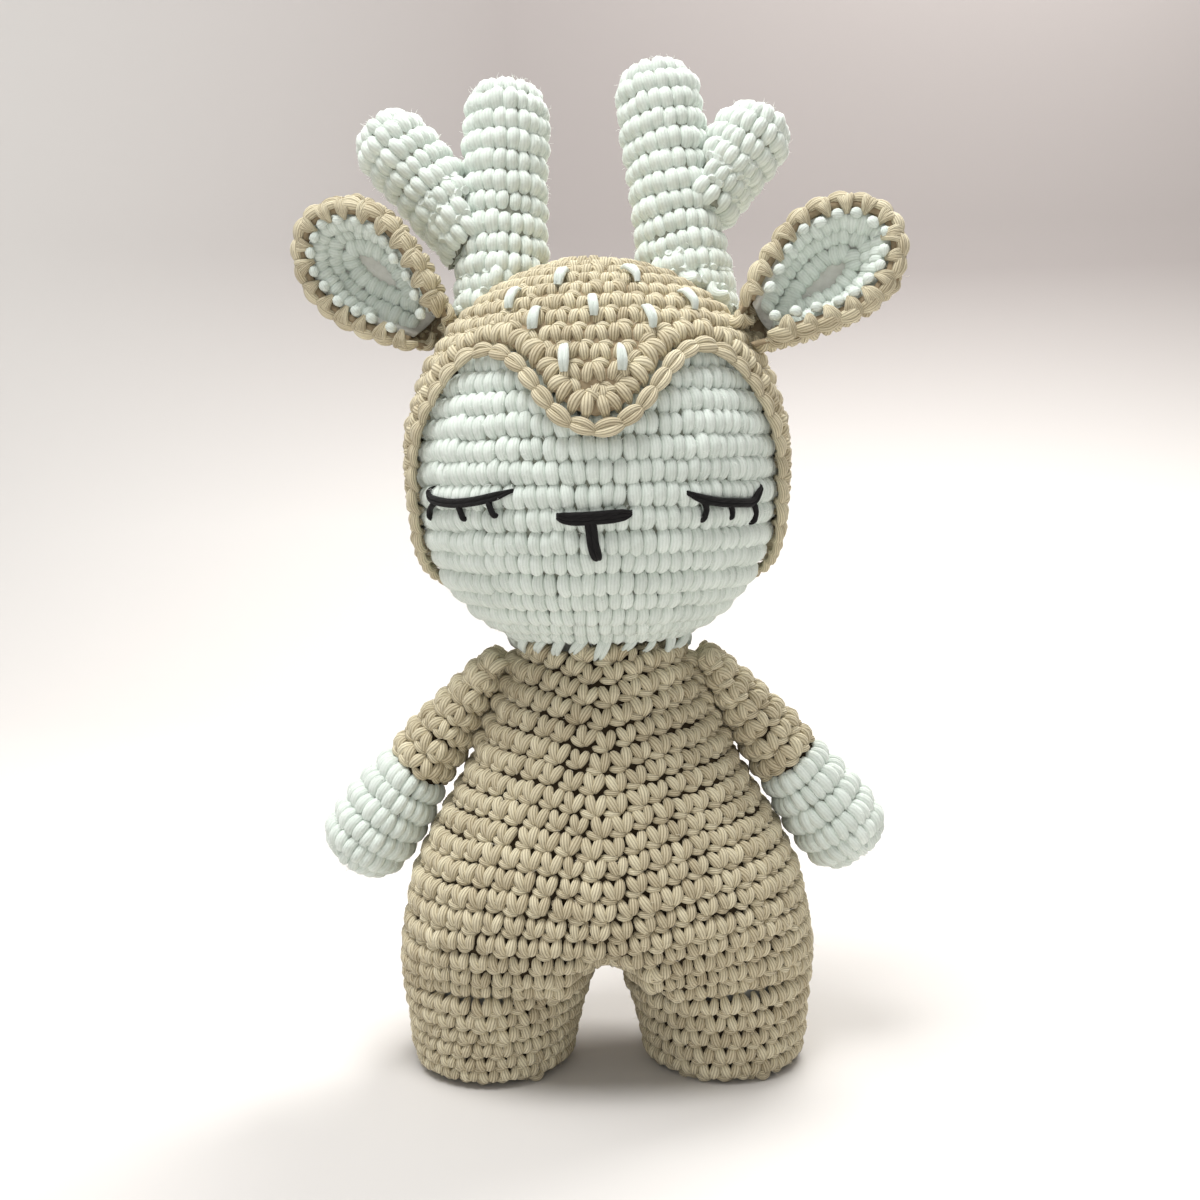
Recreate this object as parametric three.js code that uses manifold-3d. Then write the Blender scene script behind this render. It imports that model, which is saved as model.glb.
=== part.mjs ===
// A crocheted deer doll: a stuffed torso and two legs, sewn-on arms with white hands, a white ball
// head under a hood, cupped ears and branched antlers. Millimetres, +Z up, the doll faces -Y, and
// the origin lies on the ground between the soles. Left and right are the doll's own.
import * as THREE from 'three';
import { mergeVertices } from 'three/addons/utils/BufferGeometryUtils.js';
import Module from 'manifold-3d';

const wasm = await Module();
wasm.setup();

// Fabric and fits
const FABRIC = 2.6; // wall of the body, head and limbs
const CLEARANCE = 0.3; // between neighbouring pieces
const WELD = 0.0005; // points closer than this are one point

// Torso and legs
const CROTCH_HEIGHT = 17;
const TORSO_HEIGHT = 60;
const HIP_HALF_WIDTH = 37.4;
const HIP_HALF_DEPTH = 26;
const NECK_RADIUS = 14.5;
const CROTCH_HALF_GAP = 2.5; // from the middle to a leg, at its top
const CROTCH_FLARE = 7.2; // that this gap gains at the belly and at the back, as an arch
const LEG_TOP_HALF_DEPTH = 18.3;
const FOOT_HALF_WIDTH = 15;
const FOOT_HALF_DEPTH = 16.2;
const FOOT_HALF_GAP = 5.9; // from the middle to a foot

// Neck joint: the head turns and nods about a point inside the neck
const PIVOT_DROP = 7.9; // below the neck's rim
const NECK_PLUG_DEPTH = 6; // of the neck's stuffing, below the pivot
const NECK_SEAM_RADIUS = 0.6;

// Head and hood
const HEAD_RADIUS = 31.8;
const CHIN_DEPTH = 34; // from the head's widest ring down to its lowest point
const CHIN_POWER = 2.6; // how full the head is below its widest ring, where 2 is an ellipse
const HOOD_WALL = 1.6;
const HOOD_ROPE_RADIUS = 1.2;

// Arms, flattened where they are sewn on, measured from the middle of their round top edge
const SHOULDER_HALF_THICKNESS = 2.8;
const SHOULDER_HALF_DEPTH = 8;
const ARM_RADIUS = 6.5;
const HAND_RADIUS = 8.1;
const ARM_LENGTH = 45;
const CUFF_DISTANCE = 24;
const ARM_REST_GAP = 0.5; // between a hanging arm and the torso
const SHOULDER_SEAM_RADIUS = 0.6;
const SHOULDER_SEAM_LENGTH = 7;

// Antlers
const ANTLER_WALL = 2.2;
const BEAM_BASE_RADIUS = 8.3;
const BEAM_RADIUS = 7.3;
const BEAM_LENGTH = 41.8;
const BEAM_DOME_HEIGHT = 5.8;
const BEAM_ROOT = 8; // how far a beam starts inside the hood, before it is cut to it
const TINE_RADIUS = 6.9;
const TINE_LENGTH = 35.3;
const TINE_RISE = 11.9; // along the beam, to where the tine's axis starts

// Ears
const EAR_LENGTH = 31;
const EAR_HALF_WIDTH = 10.4;
const EAR_DEPTH = 9;
const EAR_BACK_WALL = 1.7;
const EAR_LINING_WALL = 1.5;
const EAR_ROPE_RADIUS = 1.1;
const EAR_ROOT = 5; // how far an ear starts inside the hood, before it is cut to it

// What fits inside a limb or an ear ends where it would be thinner than this, to either side.
const LEAST_HALF_THICKNESS = 0.6;

// Embroidery
const LID_RADIUS = 0.8;
const LASH_RADIUS = 0.55;
const NOSE_RADIUS = 1.1;
const SPOT_RADIUS = 0.85;
const SPOT_LENGTH = 4.2;

// The torso's outline from the crotch up: height, width and depth as shares, and the power of its
// rounded-box section. Width and depth run from the neck's radius, 0, to the hips', 1.
const TORSO_SHARES = [
  [0, 0.99, 0.4, 2.5],
  [0.067, 1, 0.68, 2.45],
  [0.193, 0.956, 0.96, 2.35],
  [0.317, 0.886, 1, 2.25],
  [0.443, 0.734, 0.91, 2.15],
  [0.567, 0.537, 0.74, 2.08],
  [0.692, 0.354, 0.52, 2],
  [0.817, 0.192, 0.3, 2],
  [0.916, 0.096, 0.14, 2],
  [1, 0, 0, 2],
];
const SHOULDER_HEIGHT_SHARE = 0.9;

// A leg from the sole, which is cut flat, to the crotch: share of its height, share of the foot's
// half-sizes kept at the rounded sole, and share of the way from the foot's size to the leg's top.
const LEG_SHARES = [
  [0, 0.84, 0],
  [0.035, 0.905, 0],
  [0.13, 0.96, 0],
  [0.3, 1, 0],
  [0.6, 1, 0.33],
  [0.82, 1, 0.72],
  [1, 1, 1],
];

// The arm from its top to its cuff: shares of that length, and of the way from the shoulder's
// thickness and depth to the arm's radius. Then the hand from its cuff to its round end: shares of
// that length and of the way to the hand's radius.
const ARM_SHARES = [[0, 0, 0], [0.3, 0.45, 0.15], [0.62, 0.8, 0.6], [1, 1, 1]];
const HAND_SHARES = [[0, 0], [0.42, 0.62], [1, 1]];

// An antler's beam, from its base up to its dome: shares of length and of the way to its radius
const BEAM_SHARES = [[0.12, 0.25], [0.35, 0.85], [0.6, 1], [0.8, 0.97], [1, 1.05]];

// An ear's half width and depth along its length, as shares
const EAR_SHARES = [
  [0, 0.34, 0.72],
  [0.12, 0.5, 0.86],
  [0.28, 0.73, 0.97],
  [0.45, 0.91, 1],
  [0.62, 1, 0.98],
  [0.77, 0.94, 0.86],
  [0.88, 0.77, 0.66],
  [0.95, 0.55, 0.45],
  [0.99, 0.28, 0.24],
];
const EAR_LINED_FROM = 1; // the first row of that outline that the lining and the rope reach

// The hood's edge on the head, as azimuth from the face's middle and elevation, in degrees
const HOOD_EDGE_DEGREES = [
  [0, 8.8], [5, 10.1], [9.2, 12.8], [12.8, 16.7], [17.1, 21.8], [22.1, 26.9],
  [27.6, 30.3], [33.9, 32.5], [41.6, 32.5], [48.1, 30.2], [53.6, 25.8], [58.2, 20.6],
  [62.2, 15], [66.2, 9.4], [69.7, 3.1], [72.5, -4.3], [74.1, -11.3], [76.4, -18.7],
  [83.8, -25.9], [99, -32.6], [122.6, -36.9], [150, -38.9], [180, -39.4],
];
const SPOT_DEGREES = [
  [-34.7, 47.9], [-16.3, 57], [20.6, 58.3], [-0.3, 42.9], [-20.5, 38.9],
  [18.9, 38.7], [40.5, 46.3], [-8.9, 25.7], [7.5, 25.3],
];
const NOSE_BAR_DEGREES = [[-12.4, -17.2], [-1.7, -16.6], [9.2, -16.6]];
const NOSE_DROP_DEGREES = [[-1.7, -17.4], [-1.3, -21.8], [-0.3, -28.9]];

// Handmade differences between the doll's two sides. The antlers and ears start where azimuth and
// elevation say; angles are in degrees, and the shares are of the antler's lengths above.
const SIDES = [
  {
    name: 'left',
    sign: 1,
    beam: { azimuth: 106.2, elevation: 58.6, lean: 7.3, lengthShare: 1 },
    tine: { riseShare: 1, outward: 48.4, lengthShare: 0.762 },
    ear: { azimuth: 68, elevation: 34.5, outward: 53.5, roll: -15 },
    lid: [[23.2, -11], [31.3, -13.4], [40.6, -13.9], [49.5, -14.3], [54, -9.3]],
    lashes: [[[30.3, -13.6], [30, -19.7]], [[40.2, -14.2], [40.3, -19]], [[49.6, -14.4], [49.9, -21]]],
  },
  {
    name: 'right',
    sign: -1,
    beam: { azimuth: -107, elevation: 59.5, lean: 2.4, lengthShare: 0.921 },
    tine: { riseShare: 0.395, outward: 43.2, lengthShare: 1 },
    ear: { azimuth: -89, elevation: 39, outward: 46.5, roll: -18 },
    lid: [[-23, -10.1], [-31.5, -12], [-41.6, -12.7], [-53.4, -11.8], [-56.9, -7.6]],
    lashes: [[[-31.8, -12.4], [-29.6, -17]], [[-42.1, -13.2], [-41.1, -17.6]], [[-53.5, -12], [-57.5, -18]]],
  },
];
const ANTLER_TILT_DEGREES = 8; // backwards
const EAR_FLOP_DEGREES = [-20, 8]; // down and up, for which an ear's base is relieved
const ARM_ANGLE_STEP_DEGREES = 0.25;

// How finely the round forms are cut
const BODY_SIDES = 28;
const INNER_SIDES = 20;
const HEAD_SIDES = 32;
const LIMB_SIDES = 16;
const THREAD_SIDES = 6;
const ARC_STEPS = 4;
const HEAD_STEPS = 12;
const HOOD_EDGE_STEPS = 56;
const HOOD_ROWS = 7;
const HALVINGS = 24; // of an angle, to find where two forms meet

const UP = new THREE.Vector3(0, 0, 1);

// Places that follow from the sizes
const torsoTop = CROTCH_HEIGHT + TORSO_HEIGHT;
const pivotHeight = torsoTop - PIVOT_DROP;
const neckBallRadius = Math.hypot(NECK_RADIUS, PIVOT_DROP);
const neckPocketRadius = neckBallRadius + CLEARANCE;
const neckToHead = CHIN_DEPTH * (1 - (NECK_RADIUS / HEAD_RADIUS) ** CHIN_POWER) ** (1 / CHIN_POWER);
const headHeight = pivotHeight + Math.sqrt(neckPocketRadius ** 2 - NECK_RADIUS ** 2) + neckToHead;
const hoodOffset = CLEARANCE + HOOD_WALL; // from the head to the hood's outside
const headCentre = new THREE.Vector3(0, 0, headHeight);

const beige = { color: 0xc2a98a, roughness: 0.95, metalness: 0 };
const white = { color: 0xf1f1ea, roughness: 0.95, metalness: 0 };
const black = { color: 0x15141a, roughness: 0.8, metalness: 0 };
const filling = { color: 0xfafafa, roughness: 1, metalness: 0 };

const model = new THREE.Group();

function addPiece(parent, name, finish, geometry) {
  const mesh = new THREE.Mesh(geometry, new THREE.MeshStandardMaterial(finish));
  mesh.name = name;
  parent.add(mesh);
  return mesh;
}

function radians(degrees) {
  return THREE.MathUtils.degToRad(degrees);
}

function mix(from, to, share) {
  return from + (to - from) * share;
}

// A direction from the head's centre; azimuth 0 is the face's middle and 90 the doll's left.
function headDirection([azimuth, elevation]) {
  const flat = Math.cos(radians(elevation));
  return new THREE.Vector3(
    Math.sin(radians(azimuth)) * flat,
    -Math.cos(radians(azimuth)) * flat,
    Math.sin(radians(elevation)),
  );
}

// How far the head's skin, or what lies an offset above it, is from the head's centre: a ball
// above the widest ring and fuller below it
function headReach(elevation, offset) {
  if (elevation >= 0) {
    return HEAD_RADIUS + offset;
  }
  const across = Math.cos(radians(elevation)) / (HEAD_RADIUS + offset);
  const down = Math.sin(radians(-elevation)) / (CHIN_DEPTH + offset);
  return (across ** CHIN_POWER + down ** CHIN_POWER) ** (-1 / CHIN_POWER);
}

function onHead(degrees, offset) {
  return headDirection(degrees).multiplyScalar(headReach(degrees[1], offset)).add(headCentre);
}

function elevationOf(direction) {
  return THREE.MathUtils.radToDeg(Math.asin(direction.z / direction.length()));
}

// A closed mesh with shared points and no triangle of zero area
function closed(geometry) {
  geometry.deleteAttribute('normal');
  geometry.deleteAttribute('uv');
  const merged = mergeVertices(geometry, WELD);
  const index = merged.index.array;
  const kept = [];
  for (let i = 0; i < index.length; i += 3) {
    const [a, b, c] = index.slice(i, i + 3);
    if (a !== b && b !== c && c !== a) {
      kept.push(a, b, c);
    }
  }
  merged.setIndex(kept);
  merged.computeVertexNormals();
  return merged;
}

function solid(geometry) {
  const merged = closed(geometry);
  const mesh = new wasm.Mesh({
    numProp: 3,
    vertProperties: new Float32Array(merged.attributes.position.array),
    triVerts: new Uint32Array(merged.index.array),
  });
  return new wasm.Manifold(mesh);
}

function geometryOf(manifold) {
  const mesh = manifold.getMesh();
  const geometry = new THREE.BufferGeometry();
  geometry.setAttribute('position', new THREE.BufferAttribute(mesh.vertProperties, 3));
  geometry.setIndex(new THREE.BufferAttribute(mesh.triVerts, 1));
  geometry.computeVertexNormals();
  return geometry;
}

// A skin through rings of points that turn counter-clockwise seen from ahead, closed by a fan to a
// point at each end.
function loft(rings, startPoint, endPoint) {
  const sides = rings[0].length;
  const points = [startPoint, ...rings.flat(), endPoint];
  const last = points.length - 1;
  const at = (ring, side) => 1 + ring * sides + (side % sides);
  const index = [];
  for (let side = 0; side < sides; side += 1) {
    index.push(0, at(0, side + 1), at(0, side));
    for (let ring = 0; ring + 1 < rings.length; ring += 1) {
      const corners = [at(ring, side), at(ring, side + 1), at(ring + 1, side + 1), at(ring + 1, side)];
      index.push(corners[0], corners[1], corners[2], corners[0], corners[2], corners[3]);
    }
    index.push(last, at(rings.length - 1, side), at(rings.length - 1, side + 1));
  }
  const geometry = new THREE.BufferGeometry().setFromPoints(points);
  geometry.setIndex(index);
  return geometry;
}

// Rounded-box rings round a vertical line, from rows of height, middle, half width, half depth
// and power: power 2 is an ellipse. A row without width is a tip.
function ovalLoft(rows, sides) {
  const rings = rows.map(({ height, middle = 0, halfWidth, halfDepth, power = 2 }) => {
    const round = (value) => Math.sign(value) * Math.abs(value) ** (2 / power);
    return Array.from({ length: sides }, (_, side) => {
      const angle = (side / sides) * 2 * Math.PI;
      const x = middle + halfWidth * round(Math.cos(angle));
      return new THREE.Vector3(x, halfDepth * round(Math.sin(angle)), height);
    });
  });
  const centre = ({ height, middle = 0 }) => new THREE.Vector3(middle, 0, height);
  return loft(rings, centre(rows[0]), centre(rows[rows.length - 1]));
}

// A profile of [radius, height] turned about the vertical; its outside is drawn upwards.
function turned(profile, sides) {
  const points = profile.map(([radius, height]) => new THREE.Vector2(Math.max(radius, 0), height));
  return new THREE.LatheGeometry(points, sides).rotateX(Math.PI / 2);
}

// Points of a circle's arc about [0, centre], from one elevation to another
function arc(radius, centre, from, to, steps, heightShare = 1) {
  return Array.from({ length: steps + 1 }, (_, step) => {
    const angle = radians(mix(from, to, step / steps));
    const across = Math.abs(Math.cos(angle)) < WELD ? 0 : Math.cos(angle);
    return [radius * across, centre + radius * heightShare * Math.sin(angle)];
  });
}

// A round thread along a smooth line through points
function strand(points, radius, steps) {
  const section = new THREE.Shape(Array.from({ length: THREAD_SIDES }, (_, side) => {
    const angle = (side / THREAD_SIDES) * 2 * Math.PI;
    return new THREE.Vector2(radius * Math.cos(angle), radius * Math.sin(angle));
  }));
  const extrudePath = new THREE.CatmullRomCurve3(points);
  return new THREE.ExtrudeGeometry(section, { steps, extrudePath, bevelEnabled: false });
}

// Torso and legs

function torsoSection(height) {
  const share = height / TORSO_HEIGHT;
  const found = TORSO_SHARES.findIndex((row) => row[0] >= share);
  const upper = found < 0 ? TORSO_SHARES.length - 1 : Math.max(found, 1);
  const [low, high] = [TORSO_SHARES[upper - 1], TORSO_SHARES[upper]];
  const between = (share - low[0]) / (high[0] - low[0]);
  const [, width, depth, power] = low.map((value, column) => mix(value, high[column], between));
  return {
    height: CROTCH_HEIGHT + height,
    halfWidth: mix(NECK_RADIUS, HIP_HALF_WIDTH, width),
    halfDepth: mix(NECK_RADIUS, HIP_HALF_DEPTH, depth),
    power,
  };
}

// The torso between two heights above the crotch, drawn in by an inset
function torsoForm(inset, bottom, top, sides) {
  const between = TORSO_SHARES.map((row) => row[0] * TORSO_HEIGHT)
    .filter((height) => height > bottom && height < top);
  const rows = [bottom, ...between, top].map((height) => {
    const section = torsoSection(height);
    return { ...section, halfWidth: section.halfWidth - inset, halfDepth: section.halfDepth - inset };
  });
  return ovalLoft(rows, sides);
}

const legTopHalfWidth = (torsoSection(0).halfWidth - CROTCH_HALF_GAP) / 2;
const legTopMiddle = CROTCH_HALF_GAP + legTopHalfWidth;
const footMiddle = FOOT_HALF_GAP + FOOT_HALF_WIDTH;
const fillingInset = FABRIC + CLEARANCE;

// A leg on one side, drawn in by an inset, from its sole up to a height
function legForm(sign, inset, top, sides) {
  const rows = [];
  for (const [heightShare, soleShare, wayUp] of LEG_SHARES) {
    const height = Math.max(heightShare * (CROTCH_HEIGHT - CLEARANCE), inset);
    const row = {
      height,
      middle: sign * mix(footMiddle, legTopMiddle, wayUp),
      halfWidth: mix(FOOT_HALF_WIDTH, legTopHalfWidth, wayUp) * soleShare - inset,
      halfDepth: mix(FOOT_HALF_DEPTH, LEG_TOP_HALF_DEPTH, wayUp) * soleShare - inset,
    };
    if (rows.length > 0 && height === rows[rows.length - 1].height) {
      rows.pop();
    }
    rows.push(row);
  }
  const last = rows[rows.length - 1];
  if (top > last.height) {
    rows.push({ ...last, height: top });
  }
  return ovalLoft(rows, sides);
}

// The space between the legs: an arch along y that widens to the belly and to the back
function crotchArch(inset) {
  const reach = 2 * HIP_HALF_DEPTH;
  const profile = Array.from({ length: 2 * ARC_STEPS + 1 }, (_, step) => {
    const along = mix(-reach, reach, step / (2 * ARC_STEPS));
    return [CROTCH_HALF_GAP + inset + CROTCH_FLARE * (along / HIP_HALF_DEPTH) ** 2, along];
  });
  const arch = turned([[0, -reach], ...profile, [0, reach]], LIMB_SIDES);
  return solid(arch.rotateX(Math.PI / 2).translate(0, 0, CROTCH_HEIGHT));
}

const torsoHollow = solid(torsoForm(FABRIC, FABRIC, TORSO_HEIGHT + FABRIC, INNER_SIDES));
const torsoWhole = solid(torsoForm(0, 0, TORSO_HEIGHT, BODY_SIDES));
const torsoCutters = SIDES.map(({ sign }) => solid(ovalLoft([-FABRIC, FABRIC + CLEARANCE].map((height) => ({
  height: CROTCH_HEIGHT + height,
  middle: sign * legTopMiddle,
  halfWidth: legTopHalfWidth - FABRIC,
  halfDepth: LEG_TOP_HALF_DEPTH - FABRIC,
})), INNER_SIDES)));
const torsoInside = torsoCutters.reduce((whole, hole) => whole.add(hole), torsoHollow);
const torsoShell = torsoWhole.subtract(crotchArch(0)).subtract(torsoInside.subtract(crotchArch(FABRIC)));
addPiece(model, 'torso', beige, geometryOf(torsoShell));

const torsoFillingTop = TORSO_HEIGHT - PIVOT_DROP - NECK_PLUG_DEPTH - CLEARANCE;
const torsoFilling = solid(torsoForm(fillingInset, fillingInset, torsoFillingTop, INNER_SIDES))
  .subtract(crotchArch(fillingInset));
addPiece(model, 'torso_stuffing', filling, geometryOf(torsoFilling));

for (const { name, sign } of SIDES) {
  const hollow = solid(legForm(sign, FABRIC, CROTCH_HEIGHT + FABRIC, INNER_SIDES));
  const shell = solid(legForm(sign, 0, CROTCH_HEIGHT - CLEARANCE, BODY_SIDES)).subtract(hollow);
  const stuffing = legForm(sign, fillingInset, CROTCH_HEIGHT + FABRIC, INNER_SIDES);
  addPiece(model, `${name}_leg`, beige, geometryOf(shell));
  addPiece(model, `${name}_leg_stuffing`, filling, closed(stuffing));
}

// Neck: the plug of stuffing rises through the neck's rim as a dome about the pivot, and the head
// has a pocket for it, a little wider.

// The elevation from the head's centre where its skin, offset, meets a ball about the pivot
function neckElevation(offset, ballRadius) {
  let [inside, outside] = [-90, 0];
  for (let halving = 0; halving < HALVINGS; halving += 1) {
    const middle = (inside + outside) / 2;
    const [across, height] = headPoint(offset, middle);
    if (Math.hypot(across, height - pivotHeight) < ballRadius) {
      inside = middle;
    } else {
      outside = middle;
    }
  }
  return outside;
}

// A point of the head's profile, as [radius, height]
function headPoint(offset, elevation) {
  const reach = headReach(elevation, offset);
  const across = elevation === 90 ? 0 : reach * Math.cos(radians(elevation));
  return [across, headHeight + reach * Math.sin(radians(elevation))];
}

// The head's profile from the neck's pocket up to its crown
function headProfile(offset) {
  const start = neckElevation(offset, neckPocketRadius);
  return Array.from({ length: HEAD_STEPS + 1 }, (_, step) => (
    headPoint(offset, mix(start, 90, step / HEAD_STEPS))
  ));
}

const plugRadius = NECK_RADIUS - fillingInset;
const plugElevation = THREE.MathUtils.radToDeg(Math.acos(plugRadius / neckBallRadius));
const neckPlug = turned([
  [0, pivotHeight - NECK_PLUG_DEPTH],
  [plugRadius, pivotHeight - NECK_PLUG_DEPTH],
  ...arc(neckBallRadius, pivotHeight, plugElevation, 90, ARC_STEPS),
], INNER_SIDES);
addPiece(model, 'neck_stuffing', filling, closed(neckPlug));

// Head

const headShell = turned([...headProfile(-FABRIC).reverse(), ...headProfile(0)], HEAD_SIDES);
addPiece(model, 'head', white, closed(headShell));

const headFillingProfile = headProfile(-fillingInset);
const [[pocketRadius, pocketHeight]] = headFillingProfile;
const pocketElevation = THREE.MathUtils.radToDeg(Math.atan2(pocketHeight - pivotHeight, pocketRadius));
const headFilling = turned([
  ...arc(neckPocketRadius, pivotHeight, 90, pocketElevation, ARC_STEPS),
  ...headFillingProfile.slice(1),
], INNER_SIDES);
addPiece(model, 'head_stuffing', filling, closed(headFilling));

// The neck's seam lies in the groove between the head and the neck, and turns with the head.
const seamLift = CLEARANCE + NECK_SEAM_RADIUS;
const [seamRadius, seamHeight] = headPoint(seamLift, neckElevation(seamLift, neckBallRadius + seamLift));
const neckSeam = new THREE.TorusGeometry(seamRadius, NECK_SEAM_RADIUS, THREAD_SIDES, INNER_SIDES);
addPiece(model, 'neck_seam', white, closed(neckSeam)).position.z = seamHeight;

// Hood: all that lies inside one smooth edge, which dips to a peak over the forehead, and outside
// the head

const hoodEdge = new THREE.CatmullRomCurve3([
  ...HOOD_EDGE_DEGREES,
  ...HOOD_EDGE_DEGREES.slice(1, -1).reverse().map(([azimuth, elevation]) => [-azimuth, elevation]),
].map(headDirection), true);
const hoodEdgeDirections = hoodEdge.getSpacedPoints(HOOD_EDGE_STEPS).slice(0, -1)
  .map((point) => point.normalize());

const aboveHead = (direction, offset) => (
  direction.clone().multiplyScalar(headReach(elevationOf(direction), offset)).add(headCentre)
);
const hoodRings = Array.from({ length: HOOD_ROWS }, (_, row) => hoodEdgeDirections.map((direction) => {
  const toCrown = direction.angleTo(UP) * (row / HOOD_ROWS);
  const axis = new THREE.Vector3().crossVectors(direction, UP).normalize();
  return aboveHead(direction.clone().applyAxisAngle(axis, toCrown), hoodOffset);
}));
const hoodInside = headProfile(CLEARANCE);
hoodInside.unshift([0, hoodInside[0][1]]);
const hood = solid(loft(hoodRings, headCentre, aboveHead(UP, hoodOffset)))
  .subtract(solid(turned(hoodInside, HEAD_SIDES)));
addPiece(model, 'hood', beige, geometryOf(hood));

// The rope of slip stitches round the hood's edge: rings of points across a closed line
const ropeOffset = CLEARANCE + HOOD_ROPE_RADIUS;
const ropeLine = hoodEdgeDirections.map((direction, at, all) => {
  const along = all[(at + 1) % all.length].clone().sub(all[(at + all.length - 1) % all.length]);
  const outwards = new THREE.Vector3().crossVectors(along, direction).normalize();
  return direction.clone().addScaledVector(outwards, ropeOffset / HEAD_RADIUS).normalize();
});

function closedRope(directions, offset, radius) {
  const rings = directions.map((direction, at) => {
    const along = directions[(at + 1) % directions.length].clone()
      .sub(directions[(at + directions.length - 1) % directions.length]).normalize();
    const across = new THREE.Vector3().crossVectors(direction, along).normalize();
    return Array.from({ length: THREAD_SIDES }, (_, side) => {
      const angle = (side / THREAD_SIDES) * 2 * Math.PI;
      return aboveHead(direction, offset).addScaledVector(direction, radius * Math.sin(angle))
        .addScaledVector(across, radius * Math.cos(angle));
    });
  });
  const index = [];
  rings.forEach((ring, at) => ring.forEach((_, side) => {
    const here = at * THREAD_SIDES;
    const next = ((at + 1) % rings.length) * THREAD_SIDES;
    const beside = (side + 1) % THREAD_SIDES;
    index.push(here + side, here + beside, next + beside, here + side, next + beside, next + side);
  }));
  const geometry = new THREE.BufferGeometry().setFromPoints(rings.flat());
  geometry.setIndex(index);
  return geometry;
}

addPiece(model, 'hood_edging', beige, closed(closedRope(ropeLine, ropeOffset, HOOD_ROPE_RADIUS)));

// Embroidery

function onHeadStrand(degrees, radius, steps) {
  return solid(strand(degrees.map((place) => onHead(place, CLEARANCE + radius)), radius, steps));
}

for (const { name, lid, lashes } of SIDES) {
  const eye = lashes.reduce(
    (whole, lash) => whole.add(onHeadStrand(lash, LASH_RADIUS, 1)),
    onHeadStrand(lid, LID_RADIUS, 2 * ARC_STEPS),
  );
  addPiece(model, `${name}_eye`, black, geometryOf(eye));
}
const nose = onHeadStrand(NOSE_BAR_DEGREES, NOSE_RADIUS, ARC_STEPS)
  .add(onHeadStrand(NOSE_DROP_DEGREES, NOSE_RADIUS, ARC_STEPS));
addPiece(model, 'nose', black, geometryOf(nose));

SPOT_DEGREES.forEach((degrees, at) => {
  const capsule = new THREE.CapsuleGeometry(SPOT_RADIUS, SPOT_LENGTH - 2 * SPOT_RADIUS, 2, THREAD_SIDES);
  const spot = addPiece(model, `spot_${at + 1}`, white, closed(capsule));
  const outwards = headDirection(degrees);
  const upwards = UP.clone().projectOnPlane(outwards).normalize();
  const across = new THREE.Vector3().crossVectors(upwards, outwards);
  spot.position.copy(onHead(degrees, hoodOffset + CLEARANCE + SPOT_RADIUS));
  spot.quaternion.setFromRotationMatrix(new THREE.Matrix4().makeBasis(across, upwards, outwards));
});

// Arms: the round top edge of each, tangent to the torso, keeps its seat as the arm lifts.

// The hand from its round end up to its cuff, drawn in by an inset
function handRows(inset) {
  const centre = HAND_RADIUS - ARM_LENGTH;
  const cuff = -CUFF_DISTANCE - CLEARANCE / 2;
  return [
    ...arc(HAND_RADIUS - inset, centre, -90, 0, ARC_STEPS),
    ...HAND_SHARES.map(([distance, way]) => (
      [mix(ARM_RADIUS, HAND_RADIUS, way) - inset, mix(cuff, centre, distance)]
    )).reverse().slice(1),
  ].map(([radius, height]) => ({ height, halfWidth: radius, halfDepth: radius }));
}

// The arm from its cuff up to its round top edge, drawn in by an inset
function armRows(inset) {
  const cuff = CLEARANCE / 2 - CUFF_DISTANCE;
  const sleeve = ARM_SHARES.map(([distance, thicker, narrower]) => ({
    height: cuff * distance,
    halfWidth: mix(SHOULDER_HALF_THICKNESS, ARM_RADIUS, thicker) - inset,
    halfDepth: mix(SHOULDER_HALF_DEPTH, ARM_RADIUS, narrower) - inset,
  })).reverse();
  const top = arc(SHOULDER_HALF_THICKNESS - inset, 0, 0, 90, ARC_STEPS).slice(1, -1);
  return [
    ...sleeve,
    ...top.map(([halfWidth, height]) => ({ height, halfWidth, halfDepth: SHOULDER_HALF_DEPTH - inset })),
  ].filter(({ halfWidth }) => halfWidth > LEAST_HALF_THICKNESS);
}

// The torso's left side as short straight runs, and the run that the shoulder sits on
const torsoSide = TORSO_SHARES.map(([share]) => torsoSection(share * TORSO_HEIGHT))
  .map(({ halfWidth, height }) => new THREE.Vector3(halfWidth, 0, height));
const torsoRuns = torsoSide.slice(1).map((point, at) => new THREE.Line3(torsoSide[at], point));
const shoulderHeight = CROTCH_HEIGHT + SHOULDER_HEIGHT_SHARE * TORSO_HEIGHT;
const shoulderRun = torsoRuns.find((run) => run.end.z > shoulderHeight);
const shoulderSlope = shoulderRun.delta(new THREE.Vector3()).normalize();
const shoulderOutwards = new THREE.Vector3(shoulderSlope.z, 0, -shoulderSlope.x);
const shoulderTouch = (shoulderHeight - shoulderRun.start.z) / (shoulderRun.end.z - shoulderRun.start.z);
const shoulderCentre = shoulderRun.at(shoulderTouch, new THREE.Vector3())
  .addScaledVector(shoulderOutwards, CLEARANCE + SHOULDER_HALF_THICKNESS);

const armStations = [...armRows(0), ...handRows(0)]
  .filter(({ height }) => height < -SHOULDER_HALF_THICKNESS);

function armTouches(degrees) {
  const along = new THREE.Vector3(Math.sin(radians(degrees)), 0, -Math.cos(radians(degrees)));
  return armStations.some(({ height, halfWidth }) => {
    const station = shoulderCentre.clone().addScaledVector(along, -height);
    return torsoRuns.some((run) => {
      const nearest = run.closestPointToPoint(station, true, new THREE.Vector3());
      return nearest.distanceTo(station) < halfWidth + ARM_REST_GAP;
    });
  });
}

// An arm hangs as low as the torso lets it.
let armDegrees = 0;
while (armTouches(armDegrees) && armDegrees < 90) {
  armDegrees += ARM_ANGLE_STEP_DEGREES;
}

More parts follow.
